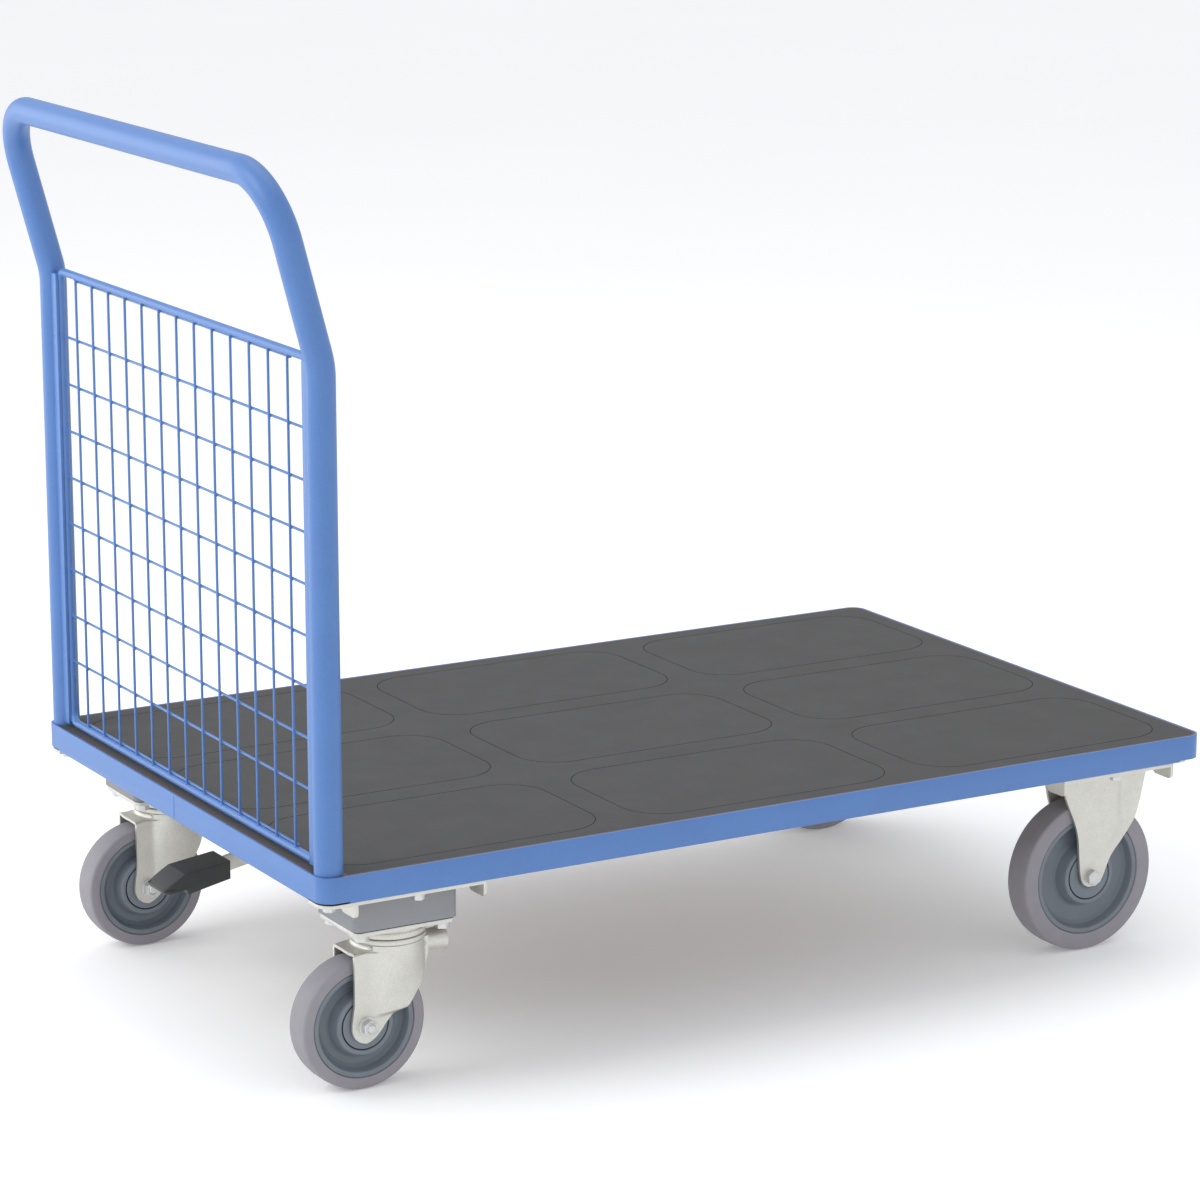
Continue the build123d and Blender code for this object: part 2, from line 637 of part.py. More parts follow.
def caster_plate():
    """Top plate of a swivel caster with its pressed upper race."""
    body = slab(HOUSING_X - 2 * PLATE_INSET, HOUSING_Y - 2 * PLATE_INSET, HOUSING_CORNER_R - 1,
                PLATE_BOTTOM, PLATE_TOP)
    body += rod(RACE_D / 2, RACE_BOTTOM, PLATE_BOTTOM)
    body -= rod(KINGPIN_D / 2, RACE_BOTTOM - 1, PLATE_TOP + 1)
    return Pos(SWIVEL_X, 0, 0) * drill_plate(body, PLATE_BOTTOM - 1, PLATE_TOP + 1)


def swivel_bearing():
    """Ring of balls in their cage, drawn as one ring."""
    return rod(RACE_D / 2 - 2, RING_BOTTOM, RACE_BOTTOM, SWIVEL_X) - rod(
        RACE_D / 2 - 16, RING_BOTTOM - 1, RACE_BOTTOM + 1, SWIVEL_X)


def kingpin():
    """Hollow pin with a head below the fork's crown."""
    head_top = CROWN_BOTTOM - SWIVEL_GAP
    body = rod(KINGPIN_D / 2, head_top, PLATE_TOP)
    body += rod(KINGPIN_HEAD_D / 2, head_top - KINGPIN_HEAD, head_top)
    body -= rod(KINGPIN_BORE / 2, head_top - KINGPIN_HEAD - 1, PLATE_TOP + 1)
    return Pos(SWIVEL_X, 0, 0) * body


def fork():
    """Pressed fork: round head, a lower roof in front of it, tapering legs and a lug at the back."""
    x, z = CASTER_AXLE_X, CASTER_AXLE_Z
    top = CROWN_TOP
    crown_r = RACE_D / 2 + 1
    back = SWIVEL_X + crown_r - 2.5
    roof = top - ROOF_DROP
    front = x - ROOF_LEAD
    neck = SWIVEL_X - (crown_r ** 2 - LEG_OUT ** 2) ** 0.5
    outline = [(neck, top), (neck, roof), (front, roof),
               (front, z + 28), (x - 20, z + 5), (x - 19.5, z - 7), (x - 14, z - 16),
               (x - 6, z - 20.5), (x + 4, z - 19.5), (x + 14, z - 13.5), (x + 22, z),
               (x + 34.5, z + 15.5), (x + 46, z + 16), (x + 53.5, z + 21.5), (x + 66, z + 38.5),
               (back - 8, z + 52), (back - 2.5, z + 70.5), (back, top - 25), (back, top)]
    body = rod(crown_r, CROWN_BOTTOM, CROWN_TOP, SWIVEL_X)
    shelf = block(front, SWIVEL_X, -LEG_OUT, LEG_OUT, roof - LEG_SHEET, roof)
    body += shelf - rod(crown_r - LEG_SHEET, roof - LEG_SHEET - 1, roof + 1, SWIVEL_X)
    skirt = rod(crown_r, CROWN_BOTTOM - 6, CROWN_TOP, SWIVEL_X)
    wall = rod(crown_r, roof - LEG_SHEET, CROWN_TOP, SWIVEL_X)
    skirt += wall & block(SWIVEL_X - 2 * crown_r, SWIVEL_X - crown_r / 2, -LEG_OUT, LEG_OUT,
                          roof - LEG_SHEET, CROWN_TOP)
    body += skirt - rod(crown_r - LEG_SHEET, roof - LEG_SHEET - 1, CROWN_BOTTOM, SWIVEL_X)
    for side in (-1, 1):
        a = side * LEG_IN
        b = side * LEG_OUT
        body += side_plate(outline, min(a, b), max(a, b))
    lug_z = CROWN_BOTTOM - 2
    lug = Pos(SWIVEL_X + crown_r + 13, 0, lug_z) * Rot(0, 90, 0) * (Cylinder(13, 34) - Cylinder(10, 36))
    body += lug & block(SWIVEL_X + crown_r - 3, SWIVEL_X + 90, -20, 20, lug_z - 20, lug_z)
    body -= rod(KINGPIN_D / 2 + RUN_FIT, CROWN_BOTTOM - 1, CROWN_TOP + 1, SWIVEL_X)
    body -= cross_rod(AXLE_D / 2 + BOLT_GAP, -LEG_OUT - 1, LEG_OUT + 1, x, z)
    body -= cross_rod(SHOE_PIN_D / 2, -LEG_OUT - 1, LEG_OUT + 1, SHOE_PIN_X, SHOE_PIN_Z)
    return body


# ---------------------------------------------------------------- brake
def brake_shoe():
    """Lever on a hinge pin behind the swivel axis; its pad fits the tyre when it is down."""
    x_min = CASTER_AXLE_X + 6
    half = SHOE_WIDTH / 2
    body = block(x_min, SHOE_PIN_X, -half, half, SHOE_PIN_Z, SHOE_TOP)
    body += block(x_min, x_min + 32, -half + 3, half - 3, SHOE_PIN_Z - 16, SHOE_PIN_Z + 1)
    body += cross_rod(SHOE_PIN_D / 2 + 3, -half, half, SHOE_PIN_X, SHOE_PIN_Z)
    body -= cross_rod(SHOE_PIN_D / 2 + RUN_FIT, -half - 1, half + 1, SHOE_PIN_X, SHOE_PIN_Z)
    dx = CASTER_AXLE_X - SHOE_PIN_X
    dz = CASTER_AXLE_Z - SHOE_PIN_Z
    swing = radians(SHOE_SWING)
    x = SHOE_PIN_X + dx * cos(swing) + dz * sin(swing)
    z = SHOE_PIN_Z - dx * sin(swing) + dz * cos(swing)
    return body - cross_rod(CASTER_WHEEL_R + TYRE_GAP_BRAKED, -half - 1, half + 1, x, z)


def shoe_hinge_pin():
    """Hinge pin of the brake shoe, fixed in the fork's legs."""
    return cross_rod(SHOE_PIN_D / 2, -LEG_OUT, LEG_OUT, SHOE_PIN_X, SHOE_PIN_Z)


def brake_pin():
    """Pin in the kingpin's bore that carries the finger's push down to the shoe."""
    body = rod(KINGPIN_BORE / 2 - RUN_FIT, PIN_BOTTOM, PIN_TOP, SWIVEL_X)
    return fillet(body.edges().group_by(Axis.Z)[0], PIN_NOSE_R)


def brake_finger():
    """Finger on the brake shaft; its round nose rests above the brake pin."""
    half = FINGER_WIDTH / 2
    hub_r = SHAFT_D / 2 + 4
    body = cross_rod(hub_r, -half, half, SHAFT_X, SHAFT_Z)
    body += cross_rod(FINGER_NOSE_R, -half, half, SWIVEL_X, SHAFT_Z)
    body += block(SWIVEL_X, SHAFT_X, -half, half, SHAFT_Z - FINGER_NOSE_R, SHAFT_Z + FINGER_NOSE_R)
    return body - cross_rod(SHAFT_D / 2, -half - 1, half + 1, SHAFT_X, SHAFT_Z)


def shaft_hangers():
    """Angle brackets under the carrier that carry the middle of the brake shaft."""
    hangers = []
    for side in SIDES.values():
        ends = sorted((side * HANGER_Y, side * (HANGER_Y + HANGER_SHEET)))
        foot = sorted((side * HANGER_Y, side * (HANGER_Y + 24)))
        body = block(SHAFT_X - 15, SHAFT_X + 15, ends[0], ends[1], SHAFT_Z, WEB_BOTTOM)
        body += cross_rod(15, ends[0], ends[1], SHAFT_X, SHAFT_Z)
        body += block(SHAFT_X - 15, SHAFT_X + 15, foot[0], foot[1],
                      WEB_BOTTOM - HANGER_SHEET, WEB_BOTTOM)
        hangers.append(body - cross_rod(SHAFT_D / 2 + RUN_FIT, ends[0] - 1, ends[1] + 1,
                                        SHAFT_X, SHAFT_Z))
    return group(hangers)


def arm_z(x):
    """Height of the pedal arm's centreline."""
    return PEDAL_REAR_Z + (x - PEDAL_REAR) * tan(radians(ARM_SLOPE))


def pedal_arm():
    """Flat arm from a hub on the brake shaft to the pedal."""
    half = ARM_DEPTH / 2
    tenon = half - ARM_SHOULDER
    tip, rear = PEDAL_REAR - ARM_TENON, PEDAL_REAR
    tail, neck = SHAFT_X + ARM_HUB_R / 2, SHAFT_X - 1.6 * ARM_HUB_R
    outline = [(tip, arm_z(tip) - tenon), (rear, arm_z(rear) - tenon), (rear, arm_z(rear) - half),
               (tail, arm_z(tail) - half), (SHAFT_X + ARM_HUB_R, SHAFT_Z),
               (SHAFT_X - ARM_HUB_R, SHAFT_Z), (neck, arm_z(neck) + half),
               (rear, arm_z(rear) + half), (rear, arm_z(rear) + tenon), (tip, arm_z(tip) + tenon)]
    body = side_plate(outline, -ARM_THICKNESS / 2, ARM_THICKNESS / 2)
    body += cross_rod(ARM_HUB_R, -ARM_THICKNESS * 2, ARM_THICKNESS * 2, SHAFT_X, SHAFT_Z)
    return body - cross_rod(SHAFT_D / 2, -20, 20, SHAFT_X, SHAFT_Z)


def pedal_pad(arm):
    """Moulded foot pedal pushed onto the arm's end: a deep block with a thin sloping toe."""
    rear, ridge, tip, z = PEDAL_REAR, PEDAL_RIDGE, PEDAL_TIP, PEDAL_REAR_Z
    outline = [(rear, z + 11.5), (ridge, z + 3.5), (tip + 4.5, z - 10.5), (tip, z - 14),
               (tip + 0.5, z - 17.5), (tip + 5.5, z - 19.5), (ridge + 2, z - 16),
               (ridge + 4, z - 22.5), (rear, z - 11)]
    body = side_plate(outline, -PEDAL_WIDTH / 2, PEDAL_WIDTH / 2)
    body = chamfer(body.edges().filter_by(Axis.Y).group_by(Axis.Z)[-1], 1.5)
    return body - arm


# ---------------------------------------------------------------- assembly
def plate_bolts(x, z_seat, z_tip):
    """Hexagon bolts of the wheel plates at both sides, put in from below."""
    return group([bolt_up(PLATE_BOLT_D, M10_HEAD, M10_HEAD_H, z_seat, z_tip, px, py)
                  for px, py in plate_holes(x)])


def both_sides(shape):
    """The same piece at the left and the right of the truck, as one node."""
    return group([Pos(0, side * WHEEL_Y, 0) * shape for side in SIDES.values()])


def wheel_nodes(name, x, z, radius, rubber, hub_radius, head_side, y):
    """The nodes of one wheel and its axle, placed on the truck."""
    place = Pos(x, y, z)
    core_radius = radius - rubber
    return {
        f"{name}_tyre": place * wheel_tyre(radius, core_radius),
        f"{name}_wheel_centre": place * wheel_core(core_radius, hub_radius),
        f"{name}_thread_guards": place * group(thread_guards(hub_radius)),
        f"{name}_bearings": place * group(wheel_bearings()),
        f"{name}_axle_set": place * group(axle_set(head_side)),
    }


def all_nodes():
    """Every node of the truck, still measured from the handle-end edge and the deck's top."""
    border = border_rod()
    arm = pedal_arm()
    housing = spacer_housing()
    nodes = {
        "rim_frame": rim_frame(),
        "deck_board": deck_board(),
        "deck_mat": deck_mat(),
        "handle_tube": handle_tube(),
        "handle_inserts": handle_inserts(),
        "mesh_border_rod": border,
        "mesh_upright_wires": wires_up(border),
        "mesh_cross_wires": wires_across(border),
        "mesh_strips": mesh_strips(border),
        "handle_end_carrier": carrier(CARRIER_CENTRE, True),
        "free_end_carrier": carrier(FREE_CARRIER_X, False),
        "corner_bolts": corner_bolts(),
        "carrier_bolts": rim_bolts(),
        "caster_gaskets": both_sides(gasket()),
        "caster_kingpins": both_sides(kingpin()),
        "swivel_bearings": both_sides(swivel_bearing()),
        "caster_plate_bolts": plate_bolts(SWIVEL_X, PLATE_BOTTOM, RIM_BOTTOM),
        "bracket_plate_bolts": plate_bolts(FIXED_PLATE_X, WEB_BOTTOM - LEG_SHEET, RIM_BOTTOM),
        "brake_shaft_hangers": shaft_hangers(),
        "brake_shaft": cross_rod(SHAFT_D / 2, -SHAFT_END, SHAFT_END, SHAFT_X, SHAFT_Z),
        "brake_fingers": both_sides(brake_finger()),
        "pedal_arm": arm,
        "pedal_pad": pedal_pad(arm),
    }
    for name, side in SIDES.items():
        place = Pos(0, side * WHEEL_Y, 0)
        nodes[f"spacer_housing_{name}"] = shaft_holes(housing, side)
        nodes[f"caster_plate_{name}"] = place * caster_plate()
        nodes[f"caster_fork_{name}"] = place * fork()
        nodes[f"brake_shoe_{name}"] = place * brake_shoe()
        nodes[f"shoe_hinge_pin_{name}"] = place * shoe_hinge_pin()
        nodes[f"brake_pin_{name}"] = place * brake_pin()
        nodes[f"fixed_bracket_{name}"] = place * fixed_bracket()
        nodes.update(wheel_nodes(f"caster_{name}", CASTER_AXLE_X, CASTER_AXLE_Z, CASTER_WHEEL_R,
                                 CASTER_RUBBER, CASTER_HUB_R, 1, side * WHEEL_Y))
        nodes.update(wheel_nodes(f"fixed_{name}", FIXED_AXLE_X, FIXED_AXLE_Z, FIXED_WHEEL_R,
                                 FIXED_RUBBER, FIXED_HUB_R, -1, side * WHEEL_Y))
    return nodes


os.makedirs("parts", exist_ok=True)
for node_name, node_shape in all_nodes().items():
    export_step(at(node_shape), f"parts/{node_name}.step")
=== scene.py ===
import math

import bmesh
import bpy
from mathutils import Matrix, Vector


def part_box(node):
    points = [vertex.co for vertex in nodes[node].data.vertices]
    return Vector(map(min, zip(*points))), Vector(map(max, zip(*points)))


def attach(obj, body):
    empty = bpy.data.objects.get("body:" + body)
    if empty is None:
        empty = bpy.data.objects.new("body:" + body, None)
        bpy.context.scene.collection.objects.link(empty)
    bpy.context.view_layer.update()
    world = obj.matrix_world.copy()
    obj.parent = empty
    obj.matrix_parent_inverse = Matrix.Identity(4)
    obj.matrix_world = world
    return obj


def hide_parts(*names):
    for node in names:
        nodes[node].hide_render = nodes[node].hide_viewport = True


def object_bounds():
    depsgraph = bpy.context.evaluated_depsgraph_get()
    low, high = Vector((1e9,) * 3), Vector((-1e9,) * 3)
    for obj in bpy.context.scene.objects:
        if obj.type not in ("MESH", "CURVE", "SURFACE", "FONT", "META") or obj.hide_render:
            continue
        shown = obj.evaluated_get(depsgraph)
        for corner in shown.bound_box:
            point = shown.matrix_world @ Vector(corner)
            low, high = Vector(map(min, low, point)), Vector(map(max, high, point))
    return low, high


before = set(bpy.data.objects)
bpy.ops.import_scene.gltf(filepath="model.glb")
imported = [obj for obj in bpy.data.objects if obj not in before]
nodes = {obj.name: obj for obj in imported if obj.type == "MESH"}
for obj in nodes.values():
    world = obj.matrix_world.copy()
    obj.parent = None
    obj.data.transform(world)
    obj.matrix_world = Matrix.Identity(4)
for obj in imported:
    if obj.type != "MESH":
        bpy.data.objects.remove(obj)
cad_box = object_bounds()
sides = {"left": 1, "right": -1}

# ---------------------------------------------------------------- studio
# A wide white floor under an even white sky, with a soft key light beyond the handle, a second
# one overhead and two weak ones along the long sides. The camera stands beyond the handle's
# right-hand post and looks down along the deck.
scene = bpy.context.scene
scene.view_settings.view_transform = "Standard"


def linear(hex_colour):
    """An sRGB hex value as linear RGBA."""
    channels = [int(hex_colour[i:i + 2], 16) / 255 for i in (1, 3, 5)]
    return [c / 12.92 if c <= 0.04045 else ((c + 0.055) / 1.055) ** 2.4 for c in channels] + [1.0]


def add_node(tree, kind, links=None, **settings):
    """Add a shader node with its settings; each socket gets a value or another node's output."""
    made = tree.nodes.new(kind)
    for name, value in settings.items():
        setattr(made, name, value)
    for socket, value in (links or {}).items():
        if isinstance(value, bpy.types.NodeSocket):
            tree.links.new(value, made.inputs[socket])
        else:
            made.inputs[socket].default_value = value
    return made


def bare_material(name, roughness, metallic=0.0):
    """A named material, its node tree, its shader and the object coordinates in metres."""
    material = bpy.data.materials.new(name)
    material.use_nodes = True
    tree = material.node_tree
    shader = tree.nodes["Principled BSDF"]
    shader.inputs["Roughness"].default_value = roughness
    shader.inputs["Metallic"].default_value = metallic
    place = add_node(tree, "ShaderNodeTexCoord").outputs["Object"]
    return material, tree, shader, place


def per(millimetres):
    """Texture scale whose features are this many millimetres across."""
    return 1000 / millimetres


floor_paint, tree, shader, place = bare_material("matt_white_floor_paint", 0.95)
cloud = add_node(tree, "ShaderNodeTexNoise", {"Vector": place, "Scale": per(900), "Detail": 2.0})
tint = add_node(tree, "ShaderNodeMix", {0: cloud.outputs["Fac"], 6: linear("#FAFAFA"),
                                        7: linear("#FDFDFD")}, data_type="RGBA")
tree.links.new(tint.outputs[2], shader.inputs["Base Color"])
shader.inputs["Emission Color"].default_value = linear("#FFFFFF")
shader.inputs["Emission Strength"].default_value = 0.14
bm = bmesh.new()
bmesh.ops.create_circle(bm, cap_ends=True, segments=96, radius=45.0)
mesh = bpy.data.meshes.new("studio_floor")
bm.to_mesh(mesh)
bm.free()
mesh.materials.append(floor_paint)
floor = bpy.data.objects.new("studio_floor", mesh)
scene.collection.objects.link(floor)

world = bpy.data.worlds.new("white_sky")
world.use_nodes = True
world.node_tree.nodes["Background"].inputs["Color"].default_value = linear("#FBFCFF")
world.node_tree.nodes["Background"].inputs["Strength"].default_value = 0.82
scene.world = world

centre = sum(cad_box, Vector()) / 2


def soft_light(name, place, size, watts):
    """Square area light that faces the middle of the truck."""
    lamp = bpy.data.lights.new(name, "AREA")
    lamp.size = size
    lamp.energy = watts
    light = bpy.data.objects.new(name, lamp)
    light.location = centre + Vector(place)
    light.rotation_euler = (-Vector(place)).to_track_quat("-Z", "Y").to_euler()
    scene.collection.objects.link(light)


soft_light("key_light", (-3.6, 0.4, 2.4), 2.4, 62)
soft_light("top_light", (0.4, 0.5, 4.0), 3.2, 34)
soft_light("side_light", (1.2, -4.2, 1.3), 2.4, 5)
soft_light("rim_light", (-3.2, 4.4, 0.9), 3.0, 55)

camera_data = bpy.data.cameras.new("camera")
camera_data.sensor_width = 36.0
camera_data.lens = 125.9
camera = bpy.data.objects.new("camera", camera_data)
camera.location = centre + Vector((-2.5891, -4.4824, 1.1549))
heading, pitch = math.radians(60.03), math.radians(13.553)
sight = Vector((math.cos(heading) * math.cos(pitch), math.sin(heading) * math.cos(pitch),
                -math.sin(pitch)))
camera.rotation_euler = sight.to_track_quat("-Z", "Y").to_euler()
scene.collection.objects.link(camera)
scene.camera = camera

# ---------------------------------------------------------------- rim of the deck
# A steel sheet folded to an L, bent round the deck and butt-welded in the middle of the handle
# end. It is powder-coated light blue, and its flange stops short of each rounded corner.
rim_low, rim_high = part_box("rim_frame")


def spot(x, y, z):
    """A point in mm from the deck's handle-end edge, its centre plane and its top."""
    return Vector((rim_low.x + x / 1000, y / 1000, rim_high.z + z / 1000))


def powder_coat(name, dark, light, roughness):
    """Baked polyester powder: even colour, satin, with the faint ripple called orange peel."""
    coat, tree, shader, place = bare_material(name, roughness)
    drift = add_node(tree, "ShaderNodeTexNoise", {"Vector": place, "Scale": per(60), "Detail": 3.0})
    grain = add_node(tree, "ShaderNodeTexNoise", {"Vector": place, "Scale": per(2.2), "Detail": 2.0})
    both = add_node(tree, "ShaderNodeMath", {0: drift.outputs["Fac"], 1: grain.outputs["Fac"]},
                    operation="ADD")
    half = add_node(tree, "ShaderNodeMath", {0: both.outputs[0], 1: 0.5}, operation="MULTIPLY")
    spread = add_node(tree, "ShaderNodeMapRange", {"Value": half.outputs[0], "From Min": 0.3,
                                                   "From Max": 0.7})
    colour = add_node(tree, "ShaderNodeMix", {0: spread.outputs[0], 6: linear(dark),
                                              7: linear(light)}, data_type="RGBA")
    satin = add_node(tree, "ShaderNodeMapRange", {"Value": drift.outputs["Fac"],
                                                  "To Min": roughness - 0.06,
                                                  "To Max": roughness + 0.06})
    # real orange peel is 1 to 2 mm across; 3.5 mm is the finest that shows
    peel = add_node(tree, "ShaderNodeTexNoise", {"Vector": place, "Scale": per(3.5), "Detail": 1.0})
    bump = add_node(tree, "ShaderNodeBump", {"Height": peel.outputs["Fac"], "Strength": 0.35,
                                             "Distance": 0.0003})
    tree.links.new(colour.outputs[2], shader.inputs["Base Color"])
    tree.links.new(satin.outputs[0], shader.inputs["Roughness"])
    tree.links.new(bump.outputs["Normal"], shader.inputs["Normal"])
    return coat


blue_coat = powder_coat("powder_coated_steel_light_blue", "#4F77B4", "#5680BE", 0.42)


def round_edges(bm, edges, width, segments=2):
    """Round the given edges over by a width in mm."""
    bmesh.ops.bevel(bm, geom=edges, offset=width / 1000, offset_type="OFFSET", affect="EDGES",
                    segments=segments, profile=0.5, clamp_overlap=True, material=-1)


def set_piece(name, bm, material, body, replaced=(), smooth=35):
    """Make the finished mesh an object that rides on a body and stands for CAD nodes."""
    bmesh.ops.remove_doubles(bm, verts=bm.verts, dist=2e-6)
    bmesh.ops.recalc_face_normals(bm, faces=bm.faces)
    mesh = bpy.data.meshes.new(name)
    bm.to_mesh(mesh)
    bm.free()
    mesh.shade_smooth()
    mesh.set_sharp_from_angle(angle=math.radians(smooth))
    mesh.materials.append(material)
    piece = bpy.data.objects.new(name, mesh)
    scene.collection.objects.link(piece)
    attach(piece, body)
    if replaced:
        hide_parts(*replaced)
    return piece


def refined(node, width, segments=2):
    """A copy of a CAD node's mesh with merged faces and its sharp edges rounded by a width in mm."""
    bm = bmesh.new()
    bm.from_mesh(nodes[node].data)
    bmesh.ops.remove_doubles(bm, verts=bm.verts, dist=2e-6)
    bmesh.ops.dissolve_limit(bm, angle_limit=math.radians(0.5), verts=bm.verts, edges=bm.edges)
    sharp = [edge for edge in bm.edges
             if len(edge.link_faces) == 2 and edge.calc_face_angle(0) > math.radians(32)]
    round_edges(bm, sharp, width, segments)
    return bm


set_piece("deck_rim", refined("rim_frame", 0.5), blue_coat, "chassis",
          ["rim_frame"])

bm = bmesh.new()
bmesh.ops.create_cube(bm, size=1.0)
bmesh.ops.scale(bm, vec=(0.0009, 0.0016, 0.027), verts=bm.verts)
bmesh.ops.translate(bm, vec=spot(0.0, 4, -15.5), verts=bm.verts)
round_edges(bm, [e for e in bm.edges if abs(e.verts[0].co.z - e.verts[1].co.z) > 0.001], 0.35)
set_piece("rim_weld_seam", bm, blue_coat, "chassis")

# ---------------------------------------------------------------- board
# Birch plywood with a dark brown phenolic film on both faces. It lies on the rim's flange, and
# its bare edge strip shows as a thin brown line between the rim and the mat.
film_ply, tree, shader, place = bare_material("film_faced_birch_plywood", 0.5)
stretch = add_node(tree, "ShaderNodeMapping", {"Vector": place, "Scale": (6.0, 60.0, 60.0)})
grain = add_node(tree, "ShaderNodeTexNoise", {"Vector": stretch.outputs[0], "Scale": per(120),
                                              "Detail": 5.0, "Distortion": 0.4})
plies = add_node(tree, "ShaderNodeTexWave", {"Vector": place, "Scale": per(3.0) / 6.283,
                                             "Distortion": 0.3}, bands_direction="Z")
brown = add_node(tree, "ShaderNodeMix", {0: grain.outputs["Fac"], 6: linear("#4A3420"),
                                         7: linear("#72583A")}, data_type="RGBA")
layered = add_node(tree, "ShaderNodeMix", {0: plies.outputs["Fac"], 6: brown.outputs[2],
                                           7: linear("#5C4630")}, data_type="RGBA")
bump = add_node(tree, "ShaderNodeBump", {"Height": grain.outputs["Fac"], "Strength": 0.15,
                                         "Distance": 0.0003})
tree.links.new(layered.outputs[2], shader.inputs["Base Color"])
tree.links.new(bump.outputs["Normal"], shader.inputs["Normal"])
nodes["deck_board"].data.materials.clear()
nodes["deck_board"].data.materials.append(film_ply)

# ---------------------------------------------------------------- mat
# A black-grey rubber mat let into the board, calendered with a fine matt grain. Nine pads with
# rounded corners are outlined by a shallow cut, whose floor is painted near black as shade.
mat_rubber, tree, shader, place = bare_material("calendered_mat_rubber", 0.82)
cloud = add_node(tree, "ShaderNodeTexNoise", {"Vector": place, "Scale": per(55), "Detail": 5.0,
                                              "Roughness": 0.65})
# the real grain is about 0.5 mm; 2.5 mm is the finest that shows
grit = add_node(tree, "ShaderNodeTexNoise", {"Vector": place, "Scale": per(2.5), "Detail": 2.0})
mottle = add_node(tree, "ShaderNodeMath", {0: cloud.outputs["Fac"], 1: grit.outputs["Fac"]},
                  operation="ADD")
spread = add_node(tree, "ShaderNodeMapRange", {"Value": mottle.outputs[0], "From Min": 0.7,
                                               "From Max": 1.3})
grey = add_node(tree, "ShaderNodeMix", {0: spread.outputs[0], 6: linear("#444444"),
                                        7: linear("#4E4E4E")}, data_type="RGBA")
height = add_node(tree, "ShaderNodeSeparateXYZ", {"Vector": place})
# painted shade: mat faces below the pad tops, the floors of the cuts, are coloured near black
cut = add_node(tree, "ShaderNodeMath", {0: height.outputs["Z"], 1: rim_high.z - 0.0002},
               operation="LESS_THAN")
groove_painted_shade = add_node(tree, "ShaderNodeMix", {0: cut.outputs[0], 6: grey.outputs[2],
                                         7: linear("#202020")}, data_type="RGBA")
bump = add_node(tree, "ShaderNodeBump", {"Height": grit.outputs["Fac"], "Strength": 0.4,
                                         "Distance": 0.0004})
tree.links.new(groove_painted_shade.outputs[2], shader.inputs["Base Color"])
tree.links.new(bump.outputs["Normal"], shader.inputs["Normal"])
nodes["deck_mat"].data.materials.clear()
nodes["deck_mat"].data.materials.append(mat_rubber)

# ---------------------------------------------------------------- push handle
# One round steel tube, cold-bent four times on a mandrel: two posts that lean outwards at the
# top and a level grip between them. The feet stand on the board over threaded plugs.
tube_r = 33.7 / 2
post_x, post_y = 19.4, 378.4
lean_height, handle_height, lean_run = 585.0, 798.0, 57.07
step_degrees = 3.5


def bent_rod(bm, radius, corners, bends, ring_sides, closed=False):
    """Push a circle along straight runs, turning it round a bend at each corner; all in mm."""
    corners = [spot(*corner) for corner in corners]
    heading = corners[1] - corners[0]
    matrix = Matrix.Translation(corners[0]) @ heading.to_track_quat("Z", "Y").to_matrix().to_4x4()
    first = bmesh.ops.create_circle(bm, segments=ring_sides, radius=radius / 1000, matrix=matrix)
    ring = list({edge for vert in first["verts"] for edge in vert.link_edges})
    first_ring = ring
    here = corners[0]
    for i, bend in enumerate(list(bends) + [None], 1):
        before = (corners[i] - corners[i - 1]).normalized()
        reach = 0.0
        if bend:
            after = (corners[i + 1] - corners[i]).normalized()
            angle = before.angle(after)
            reach = bend / 1000 * math.tan(angle / 2)
        stop = corners[i] - before * reach
        grown = bmesh.ops.extrude_edge_only(bm, edges=ring)["geom"]
        bmesh.ops.translate(bm, vec=stop - here,
                            verts=[v for v in grown if isinstance(v, bmesh.types.BMVert)])
        ring = [e for e in grown if isinstance(e, bmesh.types.BMEdge)]
        if bend:
            axis = before.cross(after).normalized()
            pivot = stop + axis.cross(before) * bend / 1000
            swept = bmesh.ops.spin(bm, geom=ring, cent=pivot, axis=axis, dvec=(0, 0, 0), angle=angle,
                                   steps=max(6, round(math.degrees(angle) / step_degrees)),
                                   use_merge=False)
            ring = [e for e in swept["geom_last"] if isinstance(e, bmesh.types.BMEdge)]
            here = corners[i] + after * reach
    if not closed:
        for edges in (first_ring, ring):
            bmesh.ops.contextual_create(bm, geom=edges)


bm = bmesh.new()
half_path = [(post_x, 0), (post_x, lean_height), (post_x - lean_run, handle_height)]
path = [(x, -post_y, z) for x, z in half_path] + [(x, post_y, z) for x, z in reversed(half_path)]
bent_rod(bm, tube_r, path, (110, 76, 76, 110), 56)
set_piece("push_handle_tube", bm, blue_coat, "chassis", ["handle_tube"])

# ---------------------------------------------------------------- mesh panel
# A 10 mm rod bent to a closed rectangle, filled with 3.2 mm wires that are spot-welded where
# they cross, and tied to the posts by flat strips. All of it is coated with the handle.
rod_r, wire_r = 5.0, 1.6
rod_y, panel_x = 351.95, 18.0
panel_low, panel_high = 7.0, 590.0
wire_ys = [50.0 * (i - 6) for i in range(13)]
wire_zs = [88.0 + 60.0 * i for i in range(8)]
short_zs = (panel_low + rod_r + wire_r, panel_high - rod_r - wire_r)

bm = bmesh.new()
loop = [(panel_x, 0, panel_low), (panel_x, rod_y, panel_low), (panel_x, rod_y, panel_high),
        (panel_x, -rod_y, panel_high), (panel_x, -rod_y, panel_low), (panel_x, 0, panel_low)]
bent_rod(bm, rod_r, loop, (14, 14, 14, 14), 24, closed=True)
set_piece("mesh_border_rod_bent", bm, blue_coat, "chassis", ["mesh_border_rod"])


